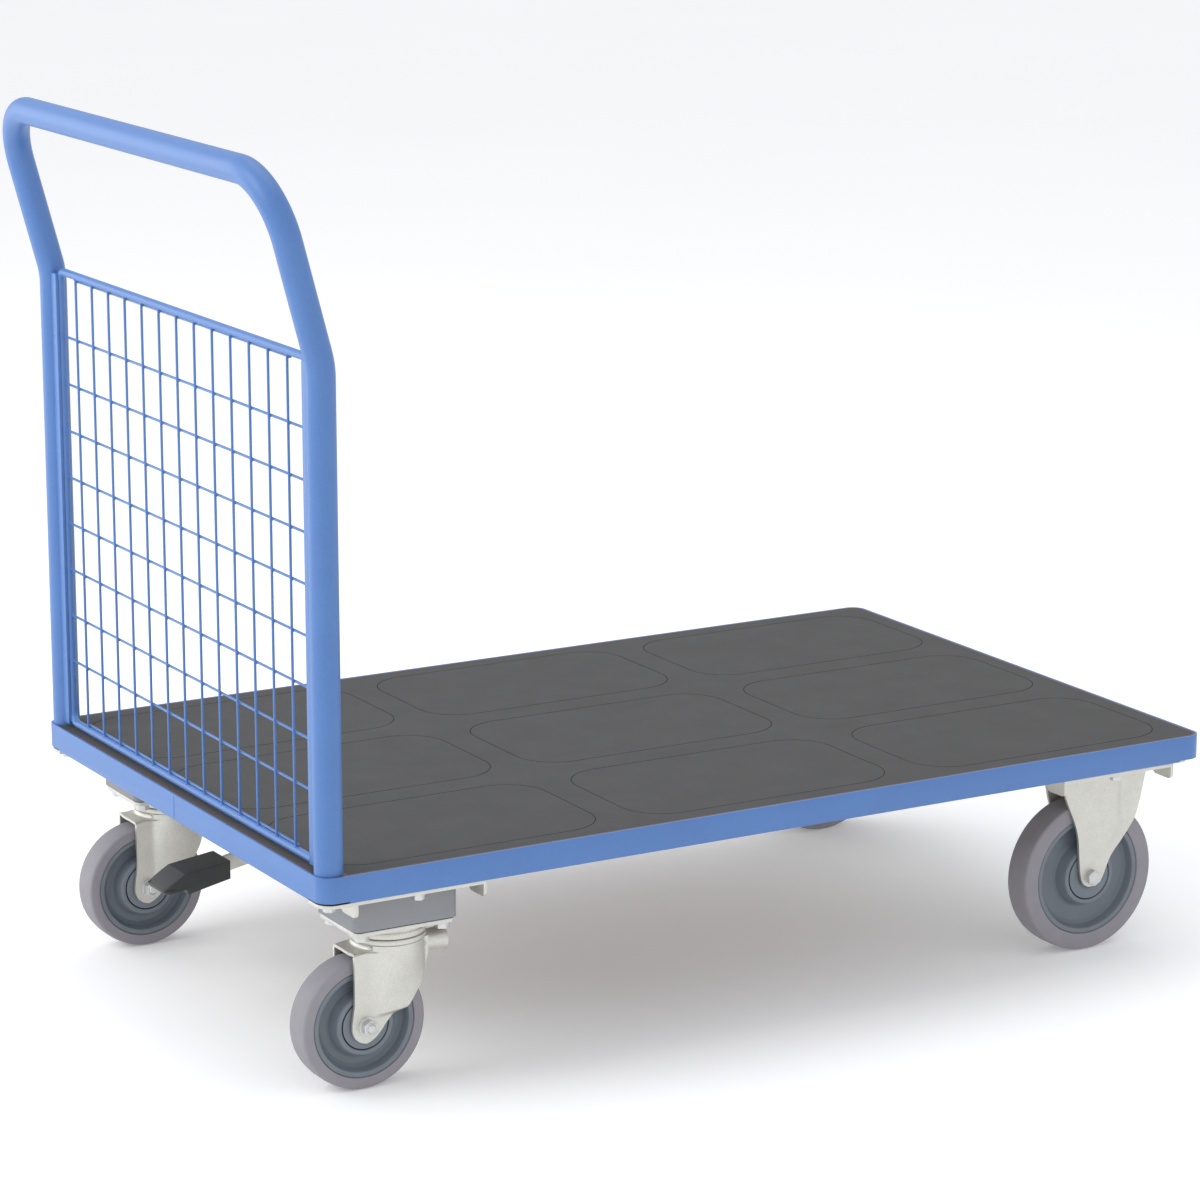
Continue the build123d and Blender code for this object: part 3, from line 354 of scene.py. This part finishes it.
def wire(bm, start, end, rounding=0.5):
    """Straight wire between two points in mm, its cut ends eased over."""
    start, end = spot(*start), spot(*end)
    turn = (end - start).to_track_quat("Z", "Y").to_matrix().to_4x4()
    made = bmesh.ops.create_cone(bm, cap_ends=True, segments=16, radius1=wire_r / 1000,
                                 radius2=wire_r / 1000, depth=(end - start).length,
                                 matrix=Matrix.Translation((start + end) / 2) @ turn)
    rims = {edge for vert in made["verts"] for edge in vert.link_edges
            if any(len(face.verts) > 4 for face in edge.link_faces)}
    round_edges(bm, list(rims), rounding, 2)


bm = bmesh.new()
for y in wire_ys:
    wire(bm, (panel_x - wire_r, y, panel_low + 1), (panel_x - wire_r, y, panel_high - 1))
set_piece("mesh_wires_upright", bm, blue_coat, "chassis", ["mesh_upright_wires"])

bm = bmesh.new()
for z in wire_zs:
    wire(bm, (panel_x + wire_r, -rod_y, z), (panel_x + wire_r, rod_y, z))
for z in short_zs:
    wire(bm, (panel_x + wire_r, wire_ys[0] - 3, z), (panel_x + wire_r, wire_ys[-1] + 3, z))
set_piece("mesh_wires_level", bm, blue_coat, "chassis", ["mesh_cross_wires"])


def weld_bead(bm, x, y, z, size):
    """Small squeezed-out bead of a spot weld; size in mm along x, y and z."""
    made = bmesh.ops.create_icosphere(bm, subdivisions=2, radius=0.5)
    bmesh.ops.scale(bm, vec=Vector(size) / 1000, verts=made["verts"])
    bmesh.ops.translate(bm, vec=spot(x, y, z), verts=made["verts"])


bm = bmesh.new()
for y in wire_ys:
    for z in list(wire_zs) + list(short_zs):
        weld_bead(bm, panel_x, y, z, (3.0, 4.6, 4.6))
    for z in (panel_low, panel_high):
        weld_bead(bm, panel_x - wire_r, y, z + (4.6 if z < 100 else -4.6), (4.2, 5.4, 3.0))
for z in wire_zs:
    for y in (-rod_y, rod_y):
        weld_bead(bm, panel_x + wire_r, y - math.copysign(4.6, y), z, (4.2, 3.0, 5.4))
set_piece("mesh_spot_welds", bm, blue_coat, "chassis")
set_piece("mesh_tie_strips", refined("mesh_strips", 0.4), blue_coat, "chassis",
          ["mesh_strips"])

# ---------------------------------------------------------------- carriers
# Two folded 4 mm sheets run across under the deck, one over the casters and one over the fixed
# wheels. They are zinc-plated and passivated: pale, satin, with a soft cloudy bloom.


def zinc_plate(name, dark, light, roughness):
    """Electroplated zinc over pressed sheet: light grey, satin, slightly clouded."""
    zinc, tree, shader, place = bare_material(name, roughness, 0.9)
    bloom = add_node(tree, "ShaderNodeTexNoise", {"Vector": place, "Scale": per(28), "Detail": 4.0,
                                                  "Roughness": 0.6})
    speck = add_node(tree, "ShaderNodeTexNoise", {"Vector": place, "Scale": per(2.0), "Detail": 2.0})
    both = add_node(tree, "ShaderNodeMath", {0: bloom.outputs["Fac"], 1: speck.outputs["Fac"]},
                    operation="ADD")
    spread = add_node(tree, "ShaderNodeMapRange", {"Value": both.outputs[0], "From Min": 0.7,
                                                   "From Max": 1.3})
    colour = add_node(tree, "ShaderNodeMix", {0: spread.outputs[0], 6: linear(dark),
                                              7: linear(light)}, data_type="RGBA")
    satin = add_node(tree, "ShaderNodeMapRange", {"Value": bloom.outputs["Fac"],
                                                  "To Min": roughness - 0.08,
                                                  "To Max": roughness + 0.1})
    bump = add_node(tree, "ShaderNodeBump", {"Height": both.outputs[0], "Strength": 0.25,
                                             "Distance": 0.0003})
    tree.links.new(colour.outputs[2], shader.inputs["Base Color"])
    tree.links.new(satin.outputs[0], shader.inputs["Roughness"])
    tree.links.new(bump.outputs["Normal"], shader.inputs["Normal"])
    return zinc


zinc = zinc_plate("zinc_plated_pressed_steel", "#CBCAC2", "#DBDAD3", 0.46)
for node in ("handle_end_carrier", "free_end_carrier"):
    set_piece(node + "_folded", refined(node, 1.1, 3), zinc, "chassis", [node])

# ---------------------------------------------------------------- bolts under the deck
# Zinc-plated hexagon bolts, cold-headed with a chamfered top and a pressed-on flange. They are
# put in from below: into the posts, through the rim and through each wheel plate.
bright_zinc = zinc_plate("zinc_plated_bolt_steel", "#C6C7C6", "#D8D9D8", 0.36)


def hex_prism(bm, across, height, chamfer, matrix):
    """Hexagonal head standing on the matrix's origin, with its upper corners turned away; mm."""
    radius = across / math.sqrt(3) / 1000
    made = bmesh.ops.create_cone(bm, cap_ends=True, segments=6, radius1=radius, radius2=radius,
                                 depth=height / 1000,
                                 matrix=matrix @ Matrix.Translation((0, 0, height / 2000)))
    axis = matrix.to_3x3() @ Vector((0, 0, 1))
    top = max((f for v in made["verts"] for f in v.link_faces),
              key=lambda f: f.calc_center_median().dot(axis))
    upright = {e for v in made["verts"] for e in v.link_edges
               if abs((e.verts[0].co - e.verts[1].co).normalized().dot(axis)) > 0.9}
    bmesh.ops.inset_region(bm, faces=[top], thickness=chamfer / 1000, depth=0)
    bmesh.ops.translate(bm, vec=axis * chamfer * 0.45 / 1000, verts=top.verts)
    round_edges(bm, list(upright), 0.5, 2)


def turned(bm, profile, matrix, steps, rounding=0.4, segments=2):
    """Turn a closed outline of (radius, height) points in mm about the matrix's Z axis."""
    verts = [bm.verts.new(matrix @ Vector((r / 1000, 0, h / 1000))) for r, h in profile]
    bm.faces.new(verts)
    rest = set(bm.verts) - set(verts)
    corners = [v for v, (r, h) in zip(verts, profile) if r > 0]
    if rounding:
        bmesh.ops.bevel(bm, geom=corners, offset=rounding / 1000, offset_type="OFFSET",
                        affect="VERTICES", segments=segments, profile=0.5, clamp_overlap=True,
                        material=-1)
    new_verts = [v for v in bm.verts if v not in rest]
    edges = list({e for v in new_verts for e in v.link_edges})
    faces = list({f for v in new_verts for f in v.link_faces})
    bmesh.ops.delete(bm, geom=faces, context="FACES_ONLY")
    origin = matrix.translation
    axis = matrix.to_3x3() @ Vector((0, 0, 1))
    bmesh.ops.spin(bm, geom=new_verts + edges, cent=origin, axis=axis, dvec=(0, 0, 0),
                   angle=math.tau, steps=steps, use_merge=True)


def bolt_from_below(bm, x, y, seat, across, height):
    """Flange and head hanging from a seat, with a trace of the shank's end in the middle; mm."""
    down = Matrix.Translation(spot(x, y, seat)) @ Matrix.Rotation(math.pi, 4, "X")
    turned(bm, [(0, 0), (across * 0.62, 0), (across * 0.62, 1.3), (across * 0.5, 1.9), (0, 1.9)],
           down, 32, 0.3)
    hex_prism(bm, across, height, across * 0.07, down @ Matrix.Translation((0, 0, 0.0017)))
    turned(bm, [(0, height), (across * 0.26, height), (across * 0.26, height + 1.3), (0, height + 1.3)],
           down, 24, 0.25)


web_bottom, board_bottom = -37.0, -30.0
deck_length = 1250.0
bm = bmesh.new()
for y in (-post_y, post_y):
    bolt_from_below(bm, post_x, y, web_bottom, 13, 6.2)
    bolt_from_below(bm, deck_length - post_x, y, board_bottom, 13, 6.2)
set_piece("corner_flange_bolts", bm, bright_zinc, "chassis", ["corner_bolts"])

bm = bmesh.new()
for x in (128, 1120):
    for y in (-390, 390):
        bolt_from_below(bm, x, y, web_bottom, 13, 5.4)
set_piece("carrier_flange_bolts", bm, bright_zinc, "chassis", ["carrier_bolts"])

swivel_x, wheel_y = 128.0, 310.0
plate_pitch_x, plate_pitch_y = 105.0, 75.0
bracket_plate_x, plate_sheet = 1144.0, 4.0
for name, plate_x, seat, node in (
        ("caster_flange_bolts", swivel_x, -90.5, "caster_plate_bolts"),
        ("bracket_flange_bolts", bracket_plate_x, web_bottom - plate_sheet, "bracket_plate_bolts")):
    bm = bmesh.new()
    for side in sides.values():
        for i in (-0.5, 0.5):
            for j in (-0.5, 0.5):
                bolt_from_below(bm, plate_x + i * plate_pitch_x, side * wheel_y + j * plate_pitch_y,
                                seat, 15.5, 6.0)
    set_piece(name, bm, bright_zinc, "chassis", [node])

# ---------------------------------------------------------------- spacer housings
# Deep-drawn steel boxes, painted mid grey, that bring the smaller casters to the height of the
# fixed wheels and hide the brake's fingers. A rubber sheet seals each to the plate below it.
grey_paint = powder_coat("satin_grey_enamelled_steel", "#85878B", "#8E9094", 0.5)
gasket_rubber, tree, shader, place = bare_material("black_sheet_rubber", 0.85)
fleck = add_node(tree, "ShaderNodeTexNoise", {"Vector": place, "Scale": per(1.5), "Detail": 2.0})
black = add_node(tree, "ShaderNodeMix", {0: fleck.outputs["Fac"], 6: linear("#0E0E0E"),
                                         7: linear("#1E1E1E")}, data_type="RGBA")
bump = add_node(tree, "ShaderNodeBump", {"Height": fleck.outputs["Fac"], "Strength": 0.3,
                                         "Distance": 0.0002})
tree.links.new(black.outputs[2], shader.inputs["Base Color"])
tree.links.new(bump.outputs["Normal"], shader.inputs["Normal"])
for name in sides:
    set_piece(f"spacer_box_{name}", refined(f"spacer_housing_{name}", 1.6, 3), grey_paint, "chassis",
              [f"spacer_housing_{name}"])
set_piece("housing_seals", refined("caster_gaskets", 0.3), gasket_rubber, "chassis",
          ["caster_gaskets"])

# ---------------------------------------------------------------- caster plates
# Pressed 5 mm plates, zinc-plated, with the upper half of the ball race drawn down from them in
# one stepped ring.
for name, side in sides.items():
    bm = refined(f"caster_plate_{name}", 0.7)
    ring = Matrix.Translation(spot(swivel_x, side * wheel_y, 0))
    turned(bm, [(14, -89), (42.4, -89), (43.4, -91.5), (43.8, -94.8), (44.9, -95.8), (45.2, -99),
                (44.6, -102.1), (43.2, -102.8), (14, -102.8)], ring, 96, 0.5)
    set_piece(f"caster_top_plate_{name}", bm, zinc, "chassis",
              [f"caster_plate_{name}"])

# ---------------------------------------------------------------- swivel forks
# Pressed from one zinc-plated blank: a round head drawn over the ball race, a low roof in front
# of it, two legs that run down to flat, narrower ears for the axle, and a spout at the back.
caster_axle = (87.0, -207.5)
head_top, roof_top, roof_x = -110.6, -117.3, 70.6
leg_in, leg_out = 24.0, 28.0
head_r = 43.6
bend_r, fillet_r = 5.0, 5.0


def between(value, points):
    """Straight-line reading of (position, result) points listed from high to low position."""
    for (a, result_a), (b, result_b) in zip(points, points[1:]):
        if value >= b:
            share = 0.0 if a == b else min(1.0, max(0.0, (a - value) / (a - b)))
            return result_a + (result_b - result_a) * share
    return points[-1][1]


def ease(low, high, value):
    """Smooth step from 0 at low to 1 at high."""
    t = min(1.0, max(0.0, (value - low) / (high - low)))
    return t * t * (3 - 2 * t)


def pressed_leg(bm, front, rear, heights, columns, outward, side, y_mid, sheet=4.0):
    """Pressed sheet leg: a grid is fitted between two edges and pushed outwards; mm."""
    rows = len(heights) - 1
    made = bmesh.ops.create_grid(bm, x_segments=columns, y_segments=rows, size=0.5)
    for vert in made["verts"]:
        z = heights[round((vert.co.y + 0.5) * rows)]
        x = front(z) + (rear(z) - front(z)) * (vert.co.x + 0.5)
        vert.co = spot(x, y_mid + side * (leg_out + outward(x, z)), z)
    faces = list({f for v in made["verts"] for f in v.link_faces})
    grown = bmesh.ops.extrude_face_region(bm, geom=faces)["geom"]
    inner = [v for v in grown if isinstance(v, bmesh.types.BMVert)]
    bmesh.ops.translate(bm, vec=(0, -side * sheet / 1000, 0), verts=inner)


def fork_front(z):
    return between(z, [(head_top, 94.4), (-115.5, 94.2), (-117.4, 92.0), (-118.4, 84.0),
                       (-119.4, 76.0), (-120.6, 72.0), (-122.4, roof_x), (-179.5, 70.5),
                       (-193, 68.5), (-203, 67), (-211, 67), (-217, 68.6), (-222, 72),
                       (-226, 77.5), (-228, 84)])


def fork_rear(z):
    return between(z, [(head_top, 169.5), (-124, 169.5), (-131, 168.6), (-137, 167), (-146, 164.5),
                       (-155.5, 161), (-169, 152.5), (-181, 143.5), (-186, 140), (-189.5, 136),
                       (-191.5, 130), (-193, 124), (-197, 119.5), (-207.5, 110), (-215, 104.5),
                       (-221, 99), (-225.5, 92.5), (-228, 86)])


def fork_outward(x, z):
    """How far the drawn head stands out from the flat leg."""
    reach = math.sqrt(max(head_r ** 2 - (x - swivel_x) ** 2, 0.0))
    if x >= swivel_x:
        swell = max(reach, leg_in) - leg_out
    else:
        swell = math.log1p(math.exp((reach - leg_out) / 1.6)) * 1.6
    cone = 0.42 + 0.58 * ease(-180, -112, z)
    return swell * cone * ease(-198, -190, z - 0.12 * (x - 121))


fork_heights = ([head_top, -113, -115.5, -117.4, -118.4, -119.4, -120.6, -122.4]
                + [-126.0 - 4.0 * i for i in range(14)] + [-181.0, -184.0, -187.0]
                + [-188.5 - 1.1 * i for i in range(11)] + [-203.0, -207.0, -211.0, -215.0, -218.5,
                                                            -221.5, -224.0, -226.0, -227.3, -228.0])
for name, side in sides.items():
    y_mid = side * wheel_y
    bm = bmesh.new()
    for leg_side in (-1, 1):
        pressed_leg(bm, fork_front, fork_rear, fork_heights, 44, fork_outward, leg_side, y_mid)
    made = bmesh.ops.create_grid(bm, x_segments=26, y_segments=44, size=0.5)
    for vert in made["verts"]:
        y = vert.co.y * 2 * (leg_out - 0.15)
        neck = swivel_x - math.sqrt((head_r - 1.2) ** 2 - y ** 2)
        x = roof_x + (neck - roof_x) * (vert.co.x + 0.5)
        gap = max(0.0, math.hypot(x - swivel_x, y) - head_r + 0.4)
        foot = fillet_r - math.sqrt(fillet_r ** 2 - max(0.0, fillet_r - gap) ** 2)
        side_drop = bend_r - math.sqrt(bend_r ** 2 - max(0.0, abs(y) - leg_out + bend_r) ** 2)
        lip = ease(80, roof_x, x) * (1.4 * ease(-12, 4, y * side) * ease(26, 12, y * side)
                                     + 1.2 * ease(2, -14, y * side))
        vert.co = spot(x, y_mid + y, roof_top + foot - side_drop - lip)
    faces = list({f for v in made["verts"] for f in v.link_faces})
    grown = bmesh.ops.extrude_face_region(bm, geom=faces)["geom"]
    bmesh.ops.translate(bm, vec=(0, 0, -0.0035),
                        verts=[v for v in grown if isinstance(v, bmesh.types.BMVert)])
    upright = Matrix.Translation(spot(swivel_x, y_mid, 0))
    turned(bm, [(10.6, -103.2), (43.2, -103.2), (44.9, -103.9), (45.2, -106.8), (44.8, -109.2),
                (43.4, -110.2), (42.3, -111.2), (42.3, -112.6), (38.5, -112.6), (38.5, -107.2),
                (10.6, -107.2)], upright, 96, 0.4)
    spout = Matrix.Translation(spot(swivel_x + 38, y_mid, -124)) @ Matrix.Rotation(
        math.pi / 2, 4, "Y")
    before = set(bm.verts)
    arc = bmesh.ops.create_circle(bm, segments=36, radius=0.013, matrix=spout)
    ring = list({e for v in arc["verts"] for e in v.link_edges})
    for run, flare in ((0.008, 1.0), (0.012, 1.0), (0.010, 1.06), (0.004, 1.14)):
        grown = bmesh.ops.extrude_edge_only(bm, edges=ring)["geom"]
        rim = [v for v in grown if isinstance(v, bmesh.types.BMVert)]
        ring = [e for e in grown if isinstance(e, bmesh.types.BMEdge)]
        bmesh.ops.translate(bm, vec=(run, 0, 0), verts=rim)
        middle = sum((v.co for v in rim), Vector()) / len(rim)
        bmesh.ops.scale(bm, vec=(1, flare, flare), verts=rim, space=Matrix.Translation(-middle))
    tube_faces = list({f for v in set(bm.verts) - before for f in v.link_faces})
    bmesh.ops.recalc_face_normals(bm, faces=tube_faces)
    bmesh.ops.solidify(bm, geom=tube_faces, thickness=0.003)
    set_piece(f"pressed_fork_{name}", bm, zinc, f"swivel_fork_{name}",
              [f"caster_fork_{name}"], smooth=40)

# ---------------------------------------------------------------- fixed brackets
# Pressed from one blank as well: a plate under the carrier and two legs, stiffened by a folded
# front strip and two shallow valleys that fade out above the axle.
fixed_axle = (1126.5, -187.5)


def bracket_front(z):
    x = fixed_axle[0]
    return between(z, [(web_bottom, x - 49), (-43, x - 48.5), (-66, x - 43), (-89, x - 36.5),
                       (-105, x - 30.5), (-121, x - 25.5), (-135, x - 22.5), (-160, x - 20.5),
                       (-179.5, x - 18.5), (-188, x - 17), (-193.5, x - 14.5), (-197.5, x - 10.5),
                       (-200, x - 4.5)])


def bracket_rear(z):
    x = fixed_axle[0]
    return between(z, [(web_bottom, x + 83), (-51, x + 83), (-66, x + 79), (-90, x + 73.5),
                       (-116.5, x + 65), (-133, x + 54.5), (-145.5, x + 45), (-154, x + 36),
                       (-163, x + 29), (-175, x + 23), (-184, x + 19.5), (-192.5, x + 15.5),
                       (-197.5, x + 10), (-200, x + 4)])


def bracket_outward(x, z):
    """Folded strip at the front edge, two valleys, and a rear strip that leans back in."""
    x -= fixed_axle[0]
    fold = -0.38 * math.log1p(math.exp((-24 - x) / 1.5)) * 1.5
    valleys = -1.3 * math.exp(-((x - 17) / 4.5) ** 2) - 4.2 * math.exp(-((x - 46) / 9) ** 2)
    roll = 2.0 * ease(-20, 10, x) - 0.10 * max(0.0, x - 62)
    return (fold + valleys + roll) * ease(-168, -96, z)


bracket_heights = [web_bottom - 1.5 - 5.0 * i for i in range(26)] + [
    -167.0, -172.0, -177.0, -182.0, -186.0, -190.0, -193.0, -195.6, -197.6, -199.1, -200.0]
for name, side in sides.items():
    y_mid = side * wheel_y
    bm = bmesh.new()
    for leg_side in (-1, 1):
        pressed_leg(bm, bracket_front, bracket_rear, bracket_heights, 64, bracket_outward, leg_side,
                    y_mid)
    made = bmesh.ops.create_cube(bm, size=1.0)
    bmesh.ops.scale(bm, vec=(0.135, 0.102, 0.004), verts=made["verts"])
    bmesh.ops.translate(bm, vec=spot(bracket_plate_x, y_mid, web_bottom - plate_sheet / 2),
                        verts=made["verts"])
    upright = list({e for v in made["verts"] for e in v.link_edges
                    if abs(e.verts[0].co.z - e.verts[1].co.z) > 0.002})
    round_edges(bm, upright, 9.0, 6)
    flat = [e for e in bm.edges if e.is_manifold and abs(e.calc_face_angle(0) - math.pi / 2) < 0.02
            and e.verts[0].co.z > spot(0, 0, web_bottom - 4.5).z
            and abs(e.verts[0].co.z - e.verts[1].co.z) < 1e-5]
    round_edges(bm, flat, 0.5)
    set_piece(f"pressed_bracket_{name}", bm, zinc, "chassis",
              [f"fixed_bracket_{name}"], smooth=40)

# ---------------------------------------------------------------- wheels
# Solid elastic rubber tyres, non-marking grey, vulcanised on centres moulded in grey polyamide:
# a rim with a lip, a dished web and a hub closed by a thread guard round the axle.


def moulded(name, dark, light, roughness, mottle_mm, grain_mm, depth_mm):
    """Moulded rubber or plastic: nearly even colour with a fine matt grain."""
    material, tree, shader, place = bare_material(name, roughness)
    drift = add_node(tree, "ShaderNodeTexNoise", {"Vector": place, "Scale": per(mottle_mm),
                                                  "Detail": 4.0})
    grain = add_node(tree, "ShaderNodeTexNoise", {"Vector": place, "Scale": per(grain_mm),
                                                  "Detail": 2.0})
    colour = add_node(tree, "ShaderNodeMix", {0: drift.outputs["Fac"], 6: linear(dark),
                                              7: linear(light)}, data_type="RGBA")
    matt = add_node(tree, "ShaderNodeMapRange", {"Value": drift.outputs["Fac"],
                                                 "To Min": roughness - 0.05,
                                                 "To Max": roughness + 0.06})
    bump = add_node(tree, "ShaderNodeBump", {"Height": grain.outputs["Fac"], "Strength": 0.3,
                                             "Distance": depth_mm / 1000})
    tree.links.new(colour.outputs[2], shader.inputs["Base Color"])
    tree.links.new(matt.outputs[0], shader.inputs["Roughness"])
    tree.links.new(bump.outputs["Normal"], shader.inputs["Normal"])
    return material


tyre_rubber = moulded("vulcanised_elastic_rubber_grey", "#8B888E", "#97949A", 0.72, 18, 1.6, 0.25)
polyamide = moulded("injection_moulded_polyamide_grey", "#6C747D", "#778089", 0.48, 25, 1.4, 0.15)
hub_half = 22.0
wheels = {"caster": (caster_axle, 80.0, 65.0, 36.0), "fixed": (fixed_axle, 100.0, 77.5, 37.0)}


def mirrored(profile):
    """An outline's points for one face of the wheel, then the same for the other face."""
    return list(profile) + [(r, -h) for r, h in reversed(profile)]


for kind, ((axle_x, axle_z), tread_r, core_r, hub_r) in wheels.items():
    for name, side in sides.items():
        wheel = f"{kind}_{name}"
        body = f"{kind}_wheel_{name}"
        hub = Matrix.Translation(spot(axle_x, side * wheel_y, axle_z)) @ Matrix.Rotation(
            -math.pi / 2, 4, "X")
        bm = bmesh.new()
        turned(bm, mirrored([(core_r + 0.2, 18.6), (core_r + 0.8, 19.6), (core_r + 1.8, 20.0),
                             (tread_r - 3.2, 19.6), (tread_r - 1.2, 17.8), (tread_r - 0.2, 9.0)]),
               hub, 144, 0.8)
        set_piece(f"{wheel}_tyre_band", bm, tyre_rubber, body, [f"{wheel}_tyre"], 50)

        lip_r = core_r - 7.0
        bm = bmesh.new()
        turned(bm, mirrored([(hub_r - 5.6, hub_half - 2.2), (hub_r - 5.0, hub_half - 0.2),
                             (hub_r - 0.6, hub_half - 0.2), (hub_r + 0.6, hub_half - 1.6),
                             (hub_r + 2.6, hub_half - 8.5), (hub_r + 5.0, 6.5), (hub_r + 8.0, 4.2),
                             (lip_r - 7.0, 4.6), (lip_r - 2.6, 8.5), (lip_r - 0.6, 14.5),
                             (lip_r + 0.8, 18.2), (core_r - 1.0, 18.9), (core_r - 0.1, 18.2)]),
               hub, 128, 0.7, 3)
        set_piece(f"{wheel}_moulded_centre", bm, polyamide, body,
                  [f"{wheel}_wheel_centre"], 50)

        bm = bmesh.new()
        for face in (1, -1):
            disc = hub @ Matrix.Rotation(0 if face > 0 else math.pi, 4, "X")
            turned(bm, [(10.4, hub_half - 2.4), (hub_r - 6.9, hub_half - 2.4),
                        (hub_r - 6.9, hub_half - 0.4), (17.0, hub_half - 0.1),
                        (15.8, hub_half - 0.9), (10.4, hub_half - 0.9)],
                   disc, 96, 0.3)
        set_piece(f"{wheel}_guard_discs", bm, polyamide, body,
                  [f"{wheel}_thread_guards"], 50)

        bm = bmesh.new()
        for face in (1, -1):
            disc = hub @ Matrix.Rotation(0 if face > 0 else math.pi, 4, "X")
            turned(bm, [(hub_r - 7.0, hub_half - 2.6), (hub_r - 5.4, hub_half - 2.6),
                        (hub_r - 5.4, hub_half - 1.3), (hub_r - 7.0, hub_half - 1.3)], disc, 96, 0.2)
        set_piece(f"{wheel}_dust_seals", bm, gasket_rubber, body, (), 50)

# ---------------------------------------------------------------- axles
# An M12 bolt through a spacer sleeve, with a washer and a lock nut whose end shows the bolt's
# domed tip. The nuts of the casters and the heads of the fixed wheels face outwards on the right.
for kind, ((axle_x, axle_z), *_) in wheels.items():
    for name, side in sides.items():
        body = f"swivel_fork_{name}" if kind == "caster" else "chassis"
        head_side = 1 if kind == "caster" else -1
        bm = bmesh.new()
        out = Matrix.Translation(spot(axle_x, side * wheel_y, axle_z)) @ Matrix.Rotation(
            -head_side * math.pi / 2, 4, "X")
        back = Matrix.Translation(spot(axle_x, side * wheel_y, axle_z)) @ Matrix.Rotation(
            head_side * math.pi / 2, 4, "X")
        turned(bm, [(0, 0), (10.0, 0), (10.0, leg_in), (0, leg_in)], out, 40, 0.3)
        turned(bm, [(0, 0), (10.0, 0), (10.0, leg_in), (0, leg_in)], back, 40, 0.3)
        turned(bm, [(0, leg_in), (6.0, leg_in), (6.0, leg_out), (0, leg_out)], out, 32, 0.1)
        hex_prism(bm, 18, 7.0, 1.4, out @ Matrix.Translation((0, 0, leg_out / 1000)))
        turned(bm, [(0, leg_out - 2), (12.0, leg_out - 2), (12.0, leg_out + 1.6), (0, leg_out + 1.6)],
               back, 40, 0.4)
        hex_prism(bm, 18, 8.0, 1.4, back @ Matrix.Translation((0, 0, (leg_out + 1.6) / 1000)))
        turned(bm, [(0, leg_out + 9), (8.0, leg_out + 9), (7.4, leg_out + 11.2), (6.6, leg_out + 11.4),
                    (5.6, leg_out + 10.6), (4.8, leg_out + 12.4), (0, leg_out + 13.0)], back, 40, 0.3)
        set_piece(f"{kind}_{name}_axle_bolt", bm, bright_zinc, body,
                  [f"{kind}_{name}_axle_set"], smooth=40)

# ---------------------------------------------------------------- foot pedal
# A shoe of glass-filled polyamide, moulded over the arm's end. Its back is level and its front
# half slopes down to a rounded tip, with a narrow chamfer along both sides.
pedal_plastic = moulded("moulded_polyamide_black", "#2F3131", "#3A3C3C", 0.5, 12, 1.2, 0.3)
pedal_half = 25.0
bm = bmesh.new()
outline = [(60, -85.5), (0, -93.5), (-24, -107.5), (-28.5, -111), (-28, -114.5), (-23, -116.5),
           (2, -113), (4, -119.5), (60, -108)]
face = bm.faces.new([bm.verts.new(spot(x, -pedal_half, z)) for x, z in outline])
grown = bmesh.ops.extrude_face_region(bm, geom=[face])["geom"]
bmesh.ops.translate(bm, vec=(0, 2 * pedal_half / 1000, 0),
                    verts=[v for v in grown if isinstance(v, bmesh.types.BMVert)])
bmesh.ops.recalc_face_normals(bm, faces=bm.faces)
low_edge = spot(0, 0, -112).z


def along_side(edge):
    """True for an upper edge that runs along one of the pedal's two sides."""
    a, b = edge.verts[0].co, edge.verts[1].co
    return abs(a.y - b.y) < 1e-5 and min(a.z, b.z) > low_edge and abs(a.x - b.x) > 0.02


round_edges(bm, [e for e in bm.edges if along_side(e)], 2.6, 1)
tip = spot(-22, 0, 0).x
round_edges(bm, [e for e in bm.edges if max(v.co.x for v in e.verts) < tip
                 and abs(e.verts[0].co.y - e.verts[1].co.y) < 0.01], 3.0, 2)
round_edges(bm, [e for e in bm.edges if e.is_manifold and e.calc_face_angle(0) > math.radians(18)],
            0.9, 2)
set_piece("foot_pedal_shoe", bm, pedal_plastic, "pedal", ["pedal_pad"])
set_piece("pedal_lever_arm", refined("pedal_arm", 0.7), zinc, "pedal",
          ["pedal_arm"])

# ---------------------------------------------------------------- brake parts under the deck
# Turned and sawn steel: the shaft, its hangers and fingers, the brake shoes with their pins, the
# kingpins, bearings and the plugs in the posts. Bright, with fine marks round the turning axis.
turned_steel, tree, shader, place = bare_material("turned_bright_steel", 0.38, 1.0)
drift = add_node(tree, "ShaderNodeTexNoise", {"Vector": place, "Scale": per(15), "Detail": 3.0})
marks = add_node(tree, "ShaderNodeMapping", {"Vector": place, "Scale": (1.0, 30.0, 1.0)})
lathe = add_node(tree, "ShaderNodeTexNoise", {"Vector": marks.outputs[0], "Scale": per(40),
                                              "Detail": 3.0})
steel = add_node(tree, "ShaderNodeMix", {0: drift.outputs["Fac"], 6: linear("#A2A29F"),
                                         7: linear("#B8B8B4")}, data_type="RGBA")
bump = add_node(tree, "ShaderNodeBump", {"Height": lathe.outputs["Fac"], "Strength": 0.2,
                                         "Distance": 0.0002})
tree.links.new(steel.outputs[2], shader.inputs["Base Color"])
tree.links.new(bump.outputs["Normal"], shader.inputs["Normal"])
for name in sides:
    set_piece(f"brake_shoe_lever_{name}", refined(f"brake_shoe_{name}", 0.5), zinc,
              f"brake_shoe_{name}", [f"brake_shoe_{name}"])
set_piece("shaft_hanger_angles", refined("brake_shaft_hangers", 0.6), zinc, "chassis",
          ["brake_shaft_hangers"])
for node in nodes.values():
    if not node.hide_render and node.name not in ("deck_board", "deck_mat"):
        node.data.materials.clear()
        node.data.materials.append(turned_steel)
